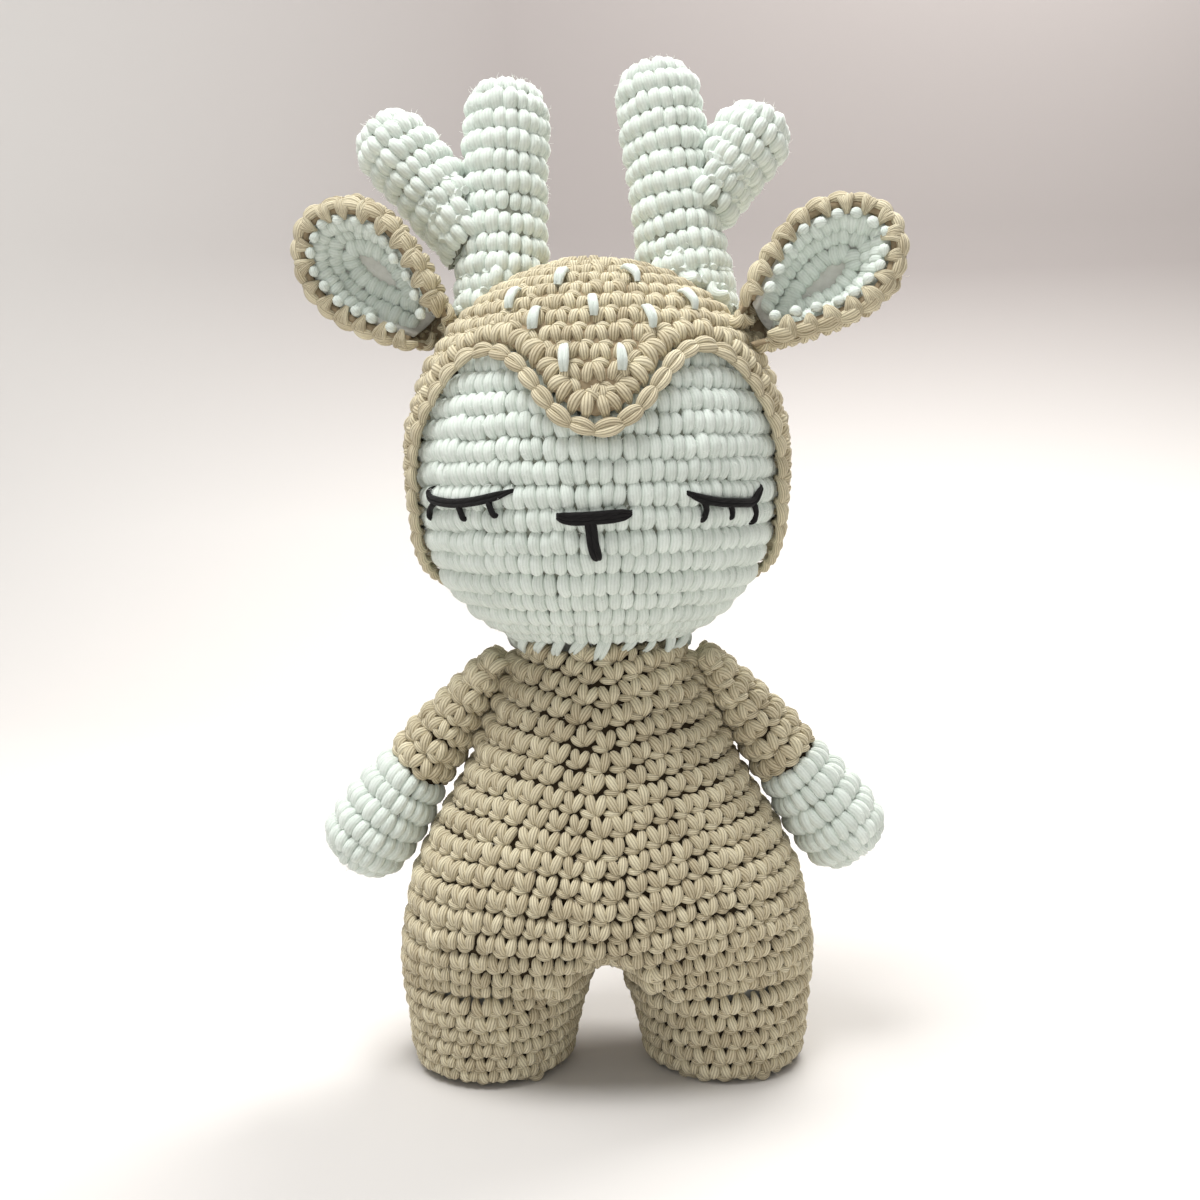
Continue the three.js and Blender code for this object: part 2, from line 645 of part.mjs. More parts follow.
// The seam lies in the groove above the arm's round edge, along the shoulder.
const seamToTorso = CLEARANCE + SHOULDER_SEAM_RADIUS;
const seamToArm = SHOULDER_HALF_THICKNESS + seamToTorso;
const seamInwards = CLEARANCE + SHOULDER_HALF_THICKNESS - seamToTorso;
const shoulderSeam = shoulderCentre.clone()
  .addScaledVector(shoulderOutwards, -seamInwards)
  .addScaledVector(shoulderSlope, Math.sqrt(seamToArm ** 2 - seamInwards ** 2));

for (const { name, sign } of SIDES) {
  const arm = new THREE.Group();
  arm.position.set(sign * shoulderCentre.x, 0, shoulderCentre.z);
  arm.rotation.y = -sign * radians(armDegrees);
  model.add(arm);
  const inside = solid(ovalLoft([...handRows(FABRIC), ...armRows(FABRIC)], LIMB_SIDES));
  const sleeve = solid(ovalLoft(armRows(0), LIMB_SIDES)).subtract(inside);
  const hand = solid(ovalLoft(handRows(0), LIMB_SIDES)).subtract(inside);
  const stuffing = ovalLoft([...handRows(fillingInset), ...armRows(fillingInset)], LIMB_SIDES);
  addPiece(arm, `${name}_arm`, beige, geometryOf(sleeve));
  addPiece(arm, `${name}_hand`, white, geometryOf(hand));
  addPiece(arm, `${name}_arm_stuffing`, filling, closed(stuffing));

  const seamStraight = SHOULDER_SEAM_LENGTH - 2 * SHOULDER_SEAM_RADIUS;
  const seam = new THREE.CapsuleGeometry(SHOULDER_SEAM_RADIUS, seamStraight, 2, THREAD_SIDES);
  const seamPiece = addPiece(model, `${name}_shoulder_seam`, beige, closed(seam));
  seamPiece.position.set(sign * shoulderSeam.x, 0, shoulderSeam.z);
}

// A cutter as it lies in a group's own frame
function inFrameOf(group, geometry) {
  group.updateWorldMatrix(true, false);
  return solid(geometry.applyMatrix4(group.matrixWorld.clone().invert()));
}

// The ball that leaves room for the hood below what is sewn to it
function hoodBall(centre) {
  const radius = headReach(90, hoodOffset) + CLEARANCE;
  const ball = new THREE.SphereGeometry(radius, HEAD_SIDES, LIMB_SIDES);
  return ball.rotateX(Math.PI / 2).translate(centre.x, centre.y, centre.z);
}

// Antlers: a beam with a round top and one tine, both hollow and cut to what they are sewn to

function beamOutline(length, inset) {
  const straight = length - BEAM_DOME_HEIGHT;
  const rows = BEAM_SHARES.map(([along, way]) => (
    [mix(BEAM_BASE_RADIUS, BEAM_RADIUS, way) - inset, straight * along]
  ));
  const [topRadius] = rows.pop();
  const domeShare = (BEAM_DOME_HEIGHT - inset) / topRadius;
  return [
    [BEAM_BASE_RADIUS - inset, -BEAM_ROOT],
    ...rows,
    ...arc(topRadius, straight, 0, 90, ARC_STEPS, domeShare),
  ];
}

function tineOutline(length, inset) {
  const radius = TINE_RADIUS - inset;
  return [[radius, 0], ...arc(radius, length - TINE_RADIUS, 0, 90, ARC_STEPS)];
}

// An outline's form, hollow and open at its root, or full
function hollowForm(outline, length, wall) {
  return solid(turned([...outline(length, wall).reverse(), ...outline(length, 0)], LIMB_SIDES));
}

function fullForm(outline, length, inset) {
  const rows = outline(length, inset);
  return solid(turned([[0, rows[0][1]], ...rows], LIMB_SIDES));
}

for (const { name, sign, beam, tine } of SIDES) {
  const antler = new THREE.Group();
  antler.position.copy(onHead([beam.azimuth, beam.elevation], hoodOffset));
  antler.rotation.set(-radians(ANTLER_TILT_DEGREES), -sign * radians(beam.lean), 0);
  model.add(antler);
  const branch = new THREE.Group();
  branch.position.z = TINE_RISE * tine.riseShare;
  branch.rotation.y = sign * radians(tine.outward);
  antler.add(branch);

  const beamLength = BEAM_LENGTH * beam.lengthShare;
  const hoodCutter = inFrameOf(antler, hoodBall(headCentre));
  const beamShell = hollowForm(beamOutline, beamLength, ANTLER_WALL).subtract(hoodCutter);
  const beamFilling = fullForm(beamOutline, beamLength, ANTLER_WALL + CLEARANCE).subtract(hoodCutter);
  addPiece(antler, `${name}_antler_beam`, white, geometryOf(beamShell));
  addPiece(antler, `${name}_antler_beam_stuffing`, filling, geometryOf(beamFilling));

  const tineLength = TINE_LENGTH * tine.lengthShare;
  const beamRoom = geometryOf(fullForm(beamOutline, beamLength, -CLEARANCE));
  const cutter = inFrameOf(branch, beamRoom.applyMatrix4(antler.matrixWorld))
    .add(inFrameOf(branch, hoodBall(headCentre)));
  const tineShell = hollowForm(tineOutline, tineLength, ANTLER_WALL).subtract(cutter);
  const tineFilling = fullForm(tineOutline, tineLength, ANTLER_WALL + CLEARANCE).subtract(cutter);
  addPiece(branch, `${name}_antler_tine`, white, geometryOf(tineShell));
  addPiece(branch, `${name}_antler_tine_stuffing`, filling, geometryOf(tineFilling));
}

// Ears: a cup with a beige back, a white lining and a rope round its rim. The rim's plane is y = 0
// in the ear's own frame, the cup lies behind it, and the ear runs up along z from its seam.

function earSection([along, width, depth], inset) {
  return {
    height: along * (EAR_LENGTH - inset),
    halfWidth: EAR_HALF_WIDTH * width - inset,
    halfDepth: EAR_DEPTH * depth - inset,
  };
}

// The whole egg that a cup's wall is a part of, from one of the outline's rows on
function earEgg(inset, firstRow) {
  const rows = EAR_SHARES.slice(firstRow).map((row) => earSection(row, inset))
    .filter(({ halfWidth, halfDepth }) => Math.min(halfWidth, halfDepth) > LEAST_HALF_THICKNESS);
  if (firstRow === 0) {
    rows.unshift({ ...rows[0], height: -EAR_ROOT });
  }
  rows.push({ height: EAR_LENGTH - inset, halfWidth: 0, halfDepth: 0 });
  return solid(ovalLoft(rows, LIMB_SIDES));
}

const liningInset = EAR_BACK_WALL + CLEARANCE;
const earWall = liningInset + EAR_LINING_WALL;
const earFront = new THREE.BoxGeometry(4 * EAR_HALF_WIDTH, 2 * EAR_DEPTH, 4 * EAR_LENGTH);
earFront.translate(0, -EAR_DEPTH, 0);

const earRim = EAR_SHARES.slice(EAR_LINED_FROM).map((row) => earSection(row, earWall / 2))
  .filter(({ halfWidth }) => halfWidth > LEAST_HALF_THICKNESS);
const rimPoint = (across, height) => new THREE.Vector3(across, -CLEARANCE - EAR_ROPE_RADIUS, height);
const earRopePoints = [
  ...earRim.map(({ halfWidth, height }) => rimPoint(halfWidth, height)),
  rimPoint(0, EAR_LENGTH - earWall / 2),
  ...earRim.toReversed().map(({ halfWidth, height }) => rimPoint(-halfWidth, height)),
];

for (const { name, sign, ear: place } of SIDES) {
  const seam = onHead([place.azimuth, place.elevation], hoodOffset);
  const ear = new THREE.Group();
  ear.rotation.set(0, sign * radians(place.outward), radians(place.roll));
  const baseMiddle = new THREE.Vector3(0, earSection(EAR_SHARES[0], 0).halfDepth / 2, 0);
  ear.position.copy(seam).sub(baseMiddle.applyEuler(ear.rotation));
  model.add(ear);

  // The base is cut so that the ear can flop about its seam without touching the hood.
  const cutter = [...EAR_FLOP_DEGREES, 0].reduce((whole, flop) => {
    const turn = new THREE.Euler(0, sign * radians(flop), 0);
    const centre = headCentre.clone().sub(seam).applyEuler(turn).add(seam);
    return whole.add(inFrameOf(ear, hoodBall(centre)));
  }, solid(earFront.clone()));

  const back = earEgg(0, 0).subtract(earEgg(EAR_BACK_WALL, 0)).subtract(cutter);
  const lining = earEgg(liningInset, EAR_LINED_FROM).subtract(earEgg(earWall, EAR_LINED_FROM));
  const rope = strand(earRopePoints, EAR_ROPE_RADIUS, BODY_SIDES);
  addPiece(ear, `${name}_ear_back`, beige, geometryOf(back));
  addPiece(ear, `${name}_ear_lining`, white, geometryOf(lining.subtract(cutter)));
  addPiece(ear, `${name}_ear_edging`, beige, closed(rope));
}

export default model;
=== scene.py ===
"""The looks of a crocheted deer doll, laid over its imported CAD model.

Every stitch is modelled: rounds are level lines of the CAD skin, each round is cut into stitches, and
each stitch is a few strands that Geometry Nodes spin into plied yarn. Metres, +Z up, the doll faces -Y.
"""

import math

import bmesh
import bpy
import numpy as np
from mathutils import Matrix, Vector
from mathutils.bvhtree import BVHTree
from mathutils.kdtree import KDTree


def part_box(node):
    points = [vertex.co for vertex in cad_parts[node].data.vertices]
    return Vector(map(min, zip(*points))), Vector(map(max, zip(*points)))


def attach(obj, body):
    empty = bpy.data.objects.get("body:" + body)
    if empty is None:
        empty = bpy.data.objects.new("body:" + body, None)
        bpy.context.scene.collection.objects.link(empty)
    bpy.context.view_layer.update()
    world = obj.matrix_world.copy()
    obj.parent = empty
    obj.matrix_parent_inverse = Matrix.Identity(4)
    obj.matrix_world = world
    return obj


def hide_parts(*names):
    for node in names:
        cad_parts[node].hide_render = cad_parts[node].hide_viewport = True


MM = 0.001

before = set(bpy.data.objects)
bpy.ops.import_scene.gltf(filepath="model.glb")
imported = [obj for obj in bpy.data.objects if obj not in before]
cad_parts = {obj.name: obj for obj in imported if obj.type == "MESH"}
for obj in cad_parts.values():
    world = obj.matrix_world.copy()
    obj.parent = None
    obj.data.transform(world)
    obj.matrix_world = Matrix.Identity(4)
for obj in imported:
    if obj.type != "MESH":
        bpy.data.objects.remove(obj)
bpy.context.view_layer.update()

# Camera, as the photograph was taken
IMAGE_PIXELS = 1200
CAMERA_LENS_MM = 42
CAMERA_SENSOR_MM = 36
CAMERA_PLACE = Vector((0, -250 * MM, 107 * MM))
CAMERA_PITCH_DEGREES = 5.3
CAMERA_ROLL_DEGREES = 1.2

# Yarn
BASE_SINK = 1.5 * MM  # of the ground fabric below the CAD skin
YARN_SIDES = 8
YARN_CUTS = 2  # between two points of a strand

# Loose fibres that stand off a stitch
HAIR_ROOT = 0.4 * MM  # below the CAD skin
HAIR_LENGTH = 2.0 * MM
HAIR_RADII = np.array([0.04, 0.035, 0.03, 0.01]) * MM
HAIR_STEPS = (0.35, 0.35, 0.3)  # shares of its length
HAIR_CURL = 0.55
BEIGE_HAIRS, WHITE_HAIRS = 1, 7  # to a stitch

# A strand of a stitch is a row of points (right, up, out, radius), from the stitch's middle: up is a
# share of the stitch's height, and the others are shares of its width.
LEG_SHARES = [
    (0.07, -0.43, -0.10, 0.12),
    (0.14, -0.23, 0.12, 0.215),
    (0.225, 0.03, 0.19, 0.265),
    (0.275, 0.26, 0.06, 0.225),
    (0.29, 0.43, -0.26, 0.11),
]
BAR_SHARES = [
    (-0.64, -0.22, -0.16, 0.10),
    (-0.50, -0.35, 0.07, 0.165),
    (-0.28, -0.43, 0.13, 0.185),
    (-0.06, -0.46, 0.04, 0.145),
    (0.06, -0.42, -0.16, 0.08),
]
PUFF_SHARES = [
    (0.17, -0.52, -0.24, 0.17),
    (0.22, -0.24, 0.07, 0.265),
    (0.25, 0.06, 0.16, 0.285),
    (0.23, 0.33, 0.06, 0.255),
    (0.19, 0.53, -0.22, 0.15),
]
CHAIN_SHARES = [
    (-0.62, 0.06, -0.16, 0.10),
    (-0.30, 0.24, 0.05, 0.175),
    (0.06, 0.27, 0.12, 0.20),
    (0.38, 0.15, 0.04, 0.17),
    (0.62, -0.04, -0.14, 0.10),
]
WRAP_SHARES = [
    (0.30, 0.50, -0.10, 0.11),
    (0.27, 0.22, 0.20, 0.13),
    (0.15, -0.20, 0.24, 0.13),
    (0.03, -0.56, -0.08, 0.09),
]
BUMP_SHARES = [
    (0.36, -0.58, -0.14, 0.15),
    (0.44, -0.70, 0.08, 0.235),
    (0.55, -0.76, 0.08, 0.235),
    (0.64, -0.70, -0.14, 0.15),
]
WHIP_SHARES = [
    (0.34, 0.62, -0.20, 0.12),
    (0.16, 0.26, 0.10, 0.165),
    (-0.08, -0.18, 0.12, 0.14),
    (-0.26, -0.56, -0.12, 0.05),
]
SPOT_SHARES = [
    (0.04, -0.58, -0.36, 0.14),
    (0.05, -0.32, 0.04, 0.23),
    (0.00, 0.04, 0.12, 0.25),
    (-0.03, 0.34, 0.04, 0.20),
    (-0.04, 0.58, -0.30, 0.10),
]


def mirrored(shares):
    return [(-right, *rest) for right, *rest in shares]


def overturned(shares):
    return [(-right, -up, *rest) for right, up, *rest in shares]


SINGLE_CROCHET = [LEG_SHARES, mirrored(LEG_SHARES), BAR_SHARES]
PUFFS = [PUFF_SHARES, mirrored(PUFF_SHARES)]
WORKED_DOWN = [overturned(shares) for shares in SINGLE_CROCHET]
CHAIN = [CHAIN_SHARES, [(right, -up, *rest) for right, up, *rest in CHAIN_SHARES]]
WRAP = [[(right * way, *rest) for right, *rest in WRAP_SHARES] for way in (-1, -0.35, 0.35, 1)]


class Gauge:
    """How fabric is crocheted: the size of a stitch, its strands and how each round is set off."""

    def __init__(self, width, height, sink=1.15 * MM, pattern=SINGLE_CROCHET, lean=0.3, fat=1.0):
        self.width = width
        self.height = height
        self.sink = sink  # of the stitches' middles below the CAD skin
        self.pattern = pattern
        self.lean = lean  # of each round past the one before, as a share of a stitch
        self.fat = fat  # how thick the yarn is, against the pattern's radii


BODY = Gauge(3.75 * MM, 3.75 * MM, fat=0.96)
FACE = Gauge(4.2 * MM, 3.8 * MM, 1.2 * MM, PUFFS, 0.45)
HOOD = Gauge(3.8 * MM, 3.6 * MM, 1.0 * MM, WORKED_DOWN)
HOOD_BORDER = Gauge(4.1 * MM, 4.2 * MM, 0.95 * MM, WORKED_DOWN, 0, 1.04)
ARM = Gauge(3.9 * MM, 3.7 * MM)
HAND = Gauge(4.3 * MM, 3.9 * MM, 1.2 * MM, PUFFS, 0.4)
ANTLER = Gauge(4.5 * MM, 3.7 * MM, 1.25 * MM, PUFFS, 0.45)
EAR_SHELL = Gauge(3.8 * MM, 3.5 * MM, 0.9 * MM)
EAR_LINING = Gauge(3.4 * MM, 2.9 * MM, 0.3 * MM, PUFFS, 0.5, 1.2)
HOOD_ROPE = Gauge(4.0 * MM, 2.4 * MM, 0.1 * MM, CHAIN, 0)
EAR_RIDGE = Gauge(3.7 * MM, 2.0 * MM, 0.0, CHAIN, 0, 1.1)
EAR_WRAP = Gauge(3.7 * MM, 2.9 * MM, 0.0, WRAP, 0)
EAR_BUMP = Gauge(3.7 * MM, 2.9 * MM, 0.0, [BUMP_SHARES], 0)


def new_object(name, data):
    made = bpy.data.objects.new(name, data)
    bpy.context.scene.collection.objects.link(made)
    return made


def make_camera():
    data = bpy.data.cameras.new("camera")
    data.lens = CAMERA_LENS_MM
    data.sensor_width = CAMERA_SENSOR_MM
    camera = new_object("camera", data)
    tilt = Matrix.Rotation(math.radians(90 - CAMERA_PITCH_DEGREES), 4, "X")
    roll = Matrix.Rotation(math.radians(-CAMERA_ROLL_DEGREES), 4, "Z")
    camera.matrix_world = Matrix.Translation(CAMERA_PLACE) @ tilt @ roll
    bpy.context.scene.camera = camera
    return camera


camera = make_camera()


def pixel_ray(pixel):
    """The direction from the camera through a pixel of the photograph."""
    half = IMAGE_PIXELS / 2
    focus = CAMERA_LENS_MM / CAMERA_SENSOR_MM * IMAGE_PIXELS
    local = Vector((pixel[0] - half, half - pixel[1], -focus))
    return (camera.matrix_world.to_3x3() @ local).normalized()


# Shader maths


class Socket:
    """A shader value that does arithmetic by adding Math nodes."""

    def __init__(self, finish, socket):
        self.finish = finish
        self.socket = socket

    def math(self, operation, *others):
        node = self.finish.node("ShaderNodeMath", {"operation": operation}, self, *others)
        return node.out("Value")

    def __add__(self, other):
        return self.math("ADD", other)

    def __sub__(self, other):
        return self.math("SUBTRACT", other)

    def __rsub__(self, other):
        return self.finish.number("SUBTRACT", other, self)

    def __mul__(self, other):
        return self.math("MULTIPLY", other)

    def __pow__(self, other):
        return self.math("POWER", other)


class Node:
    """A node of a finish, whose outputs are taken by name."""

    def __init__(self, finish, node):
        self.finish = finish
        self.node = node

    def out(self, name):
        return Socket(self.finish, self.node.outputs[name])


class Finish:
    """A material, built node by node."""

    def __init__(self, name):
        self.material = bpy.data.materials.new(name)
        self.material.use_nodes = True
        self.tree = self.material.node_tree
        self.shader = self.tree.nodes["Principled BSDF"]

    def node(self, kind, settings=None, *values, **named):
        """Adds a node: its settings first, then its sockets in order, then sockets by name."""
        made = self.tree.nodes.new(kind)
        for name, value in (settings or {}).items():
            setattr(made, name, value)
        for socket, value in zip(made.inputs, values):
            self.feed(socket, value)
        for name, value in named.items():
            self.feed(made.inputs[name], value)
        return Node(self, made)

    def feed(self, socket, value):
        if isinstance(value, Socket):
            self.tree.links.new(value.socket, socket)
        else:
            socket.default_value = value

    def number(self, operation, *values):
        return self.node("ShaderNodeMath", {"operation": operation}, *values).out("Value")

    def attribute(self, name):
        return self.node("ShaderNodeAttribute", {"attribute_name": name})

    def mix(self, factor, first, second):
        """Between two colours, by a factor."""
        made = self.tree.nodes.new("ShaderNodeMix")
        made.data_type = "RGBA"
        for name, value in (("Factor_Float", factor), ("A_Color", first), ("B_Color", second)):
            self.feed(next(socket for socket in made.inputs if socket.identifier == name), value)
        output = next(socket for socket in made.outputs if socket.identifier == "Result_Color")
        return Socket(self, output)

    def noise(self, scale, detail):
        coordinates = self.node("ShaderNodeTexCoord").out("Object")
        made = self.node("ShaderNodeTexNoise", None, Vector=coordinates, Scale=scale, Detail=detail)
        return made.out("Fac")

    def surface(self, color, roughness, height, distance, **fixed):
        """Colour and relief onto the shader, with roughness and other values that are the same all over."""
        self.feed(self.shader.inputs["Base Color"], color)
        self.shader.inputs["Roughness"].default_value = roughness
        for name, value in fixed.items():
            self.shader.inputs[name.replace("_", " ")].default_value = value
        bump = self.node("ShaderNodeBump", None, Strength=1.0, Distance=distance, Height=height)
        self.feed(self.shader.inputs["Normal"], bump.out("Normal"))
        return self.material


def yarn_finish(name, light, dark, plies, twist, fuzz, relief, sheen):
    """Plied yarn: the plies wind round each strand, with painted shade darkening their grooves, and fibres
    break them up.
    """
    finish = Finish(name)
    wind = finish.node("ShaderNodeSeparateXYZ", None, finish.attribute("wind").out("Vector"))
    angle = finish.number("ARCTAN2", wind.out("Y"), wind.out("X"))
    phase = angle * (plies / 2) + wind.out("Z") * (twist / 2)
    ply = phase.math("SINE").math("ABSOLUTE")
    fibre = finish.noise(2600.0, 2.0)
    blotch = finish.noise(160.0, 1.0)
    tint = finish.attribute("tint").out("Fac")
    # painted shade: the colour runs to the dark tone in the ply grooves; tint and blotch add random tone on
    # top
    shade = ply ** 0.9 * (1 - fuzz) + fibre * fuzz
    shade = shade * 0.7 + tint * 0.3 + (blotch - 0.5) * 0.35
    color = finish.mix(shade, (*dark, 1), (*light, 1))
    height = ply ** 0.5 * (1 - fuzz) + fibre * fuzz * 0.8
    return finish.surface(
        color, 0.85, height, relief, Sheen_Weight=sheen, Sheen_Roughness=0.5, Specular_IOR_Level=0.2
    )


def hair_finish(name, color):
    """Single fibres, too thin to show any texture."""
    finish = Finish(name)
    finish.shader.inputs["Base Color"].default_value = (*color, 1)
    finish.shader.inputs["Roughness"].default_value = 0.9
    finish.shader.inputs["Specular IOR Level"].default_value = 0.1
    return finish.material


def ground_finish(name, light, dark):
    """Fabric with a fine random grain between two colours. The beige and white grounds between the stitches,
    and the beige shade, are coloured dark as painted shade; the white fibre keeps its own colour.
    """
    finish = Finish(name)
    grain = finish.noise(900.0, 3.0)
    color = finish.mix(grain, (*dark, 1), (*light, 1))
    return finish.surface(color, 1.0, grain, 0.2 * MM, Specular_IOR_Level=0.1)


# Each yarn's second, darker colour is its painted shade, taken in the ply grooves
beige_yarn = yarn_finish(
    "beige_cotton_yarn", (0.82, 0.755, 0.55), (0.25, 0.18, 0.09), 11, 700.0, 0.3, 0.17 * MM, 0.12
)
white_yarn = yarn_finish(
    "white_cotton_yarn", (0.845, 0.91, 0.85), (0.56, 0.62, 0.56), 13, 900.0, 0.55, 0.12 * MM, 0.35
)
black_thread = yarn_finish(
    "black_thread", (0.014, 0.013, 0.013), (0.004, 0.004, 0.004), 4, 2600.0, 0.4, 0.12 * MM, 0.05
)
# painted shade: the beige fabric between stitches is coloured near black, for the shade in the pits between
# them
beige_painted_shade = ground_finish("beige_painted_shade_fabric", (0.045, 0.032, 0.018), (0.02, 0.014, 0.008))
white_hair = hair_finish("white_fibre_ends", (0.95, 0.97, 0.93))
beige_hair = hair_finish("beige_fibre_ends", (0.90, 0.84, 0.70))
beige_shade = ground_finish("beige_shaded_fabric", (0.42, 0.335, 0.22), (0.24, 0.185, 0.115))
white_fibre = ground_finish("white_fibre", (0.80, 0.80, 0.76), (0.55, 0.55, 0.50))
# painted shade: the white fabric between stitches is coloured grey-green, for the shade between the white
# stitches
white_painted_shade = ground_finish("white_painted_shade_fabric", (0.36, 0.38, 0.32), (0.20, 0.21, 0.17))


# Yarn, spun by Geometry Nodes


def yarn_tree():
    """Strands of edges into plied yarn: smooth curves swept by a round section."""
    tree = bpy.data.node_groups.new("Spun yarn", "GeometryNodeTree")
    for name, kind in (
        ("Strands", "NodeSocketGeometry"),
        ("Cuts", "NodeSocketInt"),
        ("Sides", "NodeSocketInt"),
        ("Yarn", "NodeSocketMaterial"),
    ):
        tree.interface.new_socket(name, in_out="INPUT", socket_type=kind)
    tree.interface.new_socket("Yarn", in_out="OUTPUT", socket_type="NodeSocketGeometry")

    def node(kind, settings=None, **inputs):
        made = tree.nodes.new(kind)
        for name, value in (settings or {}).items():
            setattr(made, name, value)
        for name, value in inputs.items():
            socket = made.inputs[name.replace("_", " ")]
            if isinstance(value, bpy.types.NodeSocket):
                tree.links.new(value, socket)
            else:
                socket.default_value = value
        return made.outputs

    def store(geometry, name, kind, value):
        return node(
            "GeometryNodeStoreNamedAttribute", {"data_type": kind}, Geometry=geometry, Name=name, Value=value
        )["Geometry"]

    def stored(name, kind):
        return node("GeometryNodeInputNamedAttribute", {"data_type": kind}, Name=name)["Attribute"]

    given = node("NodeGroupInput")
    curve = node("GeometryNodeMeshToCurve", Mesh=given["Strands"])["Curve"]
    curve = node("GeometryNodeCurveSplineType", {"spline_type": "CATMULL_ROM"}, Curve=curve)["Curve"]
    curve = node("GeometryNodeSetSplineResolution", Geometry=curve, Resolution=given["Cuts"])["Geometry"]
    curve = store(curve, "along", "FLOAT", node("GeometryNodeSplineParameter")["Length"])
    circle = node("GeometryNodeCurvePrimitiveCircle", Resolution=given["Sides"], Radius=1.0)["Curve"]
    circle = store(circle, "section", "FLOAT_VECTOR", node("GeometryNodeInputPosition")["Position"])
    thickness = stored("thickness", "FLOAT")
    mesh = node(
        "GeometryNodeCurveToMesh", Curve=curve, Profile_Curve=circle, Scale=thickness, Fill_Caps=True
    )["Mesh"]
    across = node("ShaderNodeSeparateXYZ", Vector=stored("section", "FLOAT_VECTOR"))
    along = stored("along", "FLOAT")
    wind = node("ShaderNodeCombineXYZ", X=across["X"], Y=across["Y"], Z=along)["Vector"]
    mesh = store(mesh, "wind", "FLOAT_VECTOR", wind)
    mesh = node("GeometryNodeSetShadeSmooth", Geometry=mesh)["Geometry"]
    mesh = node("GeometryNodeRealizeInstances", Geometry=mesh)["Geometry"]
    mesh = node("GeometryNodeSetMaterial", Geometry=mesh, Material=given["Yarn"])["Geometry"]
    node("NodeGroupOutput", Yarn=mesh)
    return tree


SPUN_YARN = yarn_tree()


def spin(name, strands, yarn, cuts=YARN_CUTS, sides=YARN_SIDES):
    """A new piece of yarn. Strands are groups of (points, radii, tints), alike in number of points."""
    points, edges, thickness, tints = [], [], [], []
    start = 0
    for lines, radii, tint in strands:
        count, steps = lines.shape[:2]
        index = start + np.arange(count * steps).reshape(count, steps)
        edges.append(np.stack([index[:, :-1], index[:, 1:]], axis=-1).reshape(-1, 2))
        points.append(lines.reshape(-1, 3))
        thickness.append(radii.reshape(-1))
        tints.append(np.repeat(tint, steps))
        start += count * steps
    mesh = bpy.data.meshes.new(name)
    mesh.from_pydata(np.concatenate(points).tolist(), np.concatenate(edges).tolist(), [])
    for key, values in (("thickness", thickness), ("tint", tints)):
        layer = mesh.attributes.new(key, "FLOAT", "POINT")
        layer.data.foreach_set("value", np.concatenate(values).astype(np.float32))
    piece = new_object(name, mesh)
    modifier = piece.modifiers.new("Spun yarn", "NODES")
    modifier.node_group = SPUN_YARN
    inputs = {"Cuts": cuts, "Sides": sides, "Yarn": yarn}
    for item in SPUN_YARN.interface.items_tree:
        if item.in_out == "INPUT" and item.name in inputs:
            modifier[item.identifier] = inputs[item.name]
    graph = bpy.context.evaluated_depsgraph_get()
    spun = bpy.data.meshes.new_from_object(
        piece.evaluated_get(graph), preserve_all_data_layers=True, depsgraph=graph
    )
    piece.modifiers.clear()
    piece.data = spun
    return piece


# The CAD skin and its rounds

COVERED_WITHIN = 0.25 * MM  # of another face
LINE_STEP = 0.4 * MM  # between the points of a line
SMOOTHING = 3.5 * MM  # the length over which a level line is averaged
PATH_SMOOTHING = 1 * MM  # and over which a path is
MEND_REACH = 0.3 * MM  # between the ends of lines that are joined
STEP_UP = 0.5 * MM  # over which the sag's change is measured
ROUND_SAMPLES = 40  # levels at which the skin's steepness is measured
FLATTEST = 0.12  # steepness that spacing takes a nearly level skin to have
GAP_SHARE = 0.92  # of a stitch's width, from the nearest stitch
UNCUT = 20 * MM  # leaves the edges of a skin as they are, where it is only measured against


class Skin:
    """The surface of CAD nodes, cut finely enough for its level lines to be smooth."""

    def __init__(self, *nodes, longest=2.5 * MM):
        mesh = merged(*nodes)
        for _ in range(4):
            long_edges = [edge for edge in mesh.edges if edge.calc_length() > longest]
            if not long_edges:
                break
            bmesh.ops.subdivide_edges(mesh, edges=long_edges, cuts=1)
            bmesh.ops.triangulate(mesh, faces=mesh.faces)
        mesh.normal_update()
        self.tree = BVHTree.FromBMesh(mesh)
        self.points = np.array([vertex.co for vertex in mesh.verts])
        self.faces = np.array([[vertex.index for vertex in face.verts] for face in mesh.faces])
        self.normals = np.array([face.normal for face in mesh.faces])
        self.middles = self.points[self.faces].mean(axis=1)
        mesh.free()

    def keep(self, chosen):
        """Leaves only the chosen faces, as a true or false value each."""
        self.faces, self.normals, self.middles = (
            self.faces[chosen], self.normals[chosen], self.middles[chosen]
        )
        return self

    def level_lines(self, field, level):
        """The lines where a value on the points has a level, as (points, normals, closed)."""
        values = field[self.faces]
        crossed = (values.min(axis=1) < level) & (values.max(axis=1) >= level)
        places, normals, follows = {}, {}, {}
        for face, normal in zip(self.faces[crossed], self.normals[crossed]):
            ends = {}
            for a, b in ((face[0], face[1]), (face[1], face[2]), (face[2], face[0])):
                from_below, to_below = field[a] < level, field[b] < level
                if from_below == to_below:
                    continue
                key = (min(a, b), max(a, b))
                share = (level - field[a]) / (field[b] - field[a])
                places[key] = self.points[a] + (self.points[b] - self.points[a]) * share
                normals[key] = normals.get(key, 0) + normal
                ends["down" if to_below else "up"] = key
            if len(ends) == 2:
                follows[ends["down"]] = ends["up"]
        return trace(places, normals, follows)


def cad_tree():
    """All CAD faces of the doll."""
    mesh = bmesh.new()
    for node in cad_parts.values():
        mesh.from_mesh(node.data)
    mesh.normal_update()
    tree = BVHTree.FromBMesh(mesh)
    mesh.free()
    return tree


ALL_FACES = cad_tree()


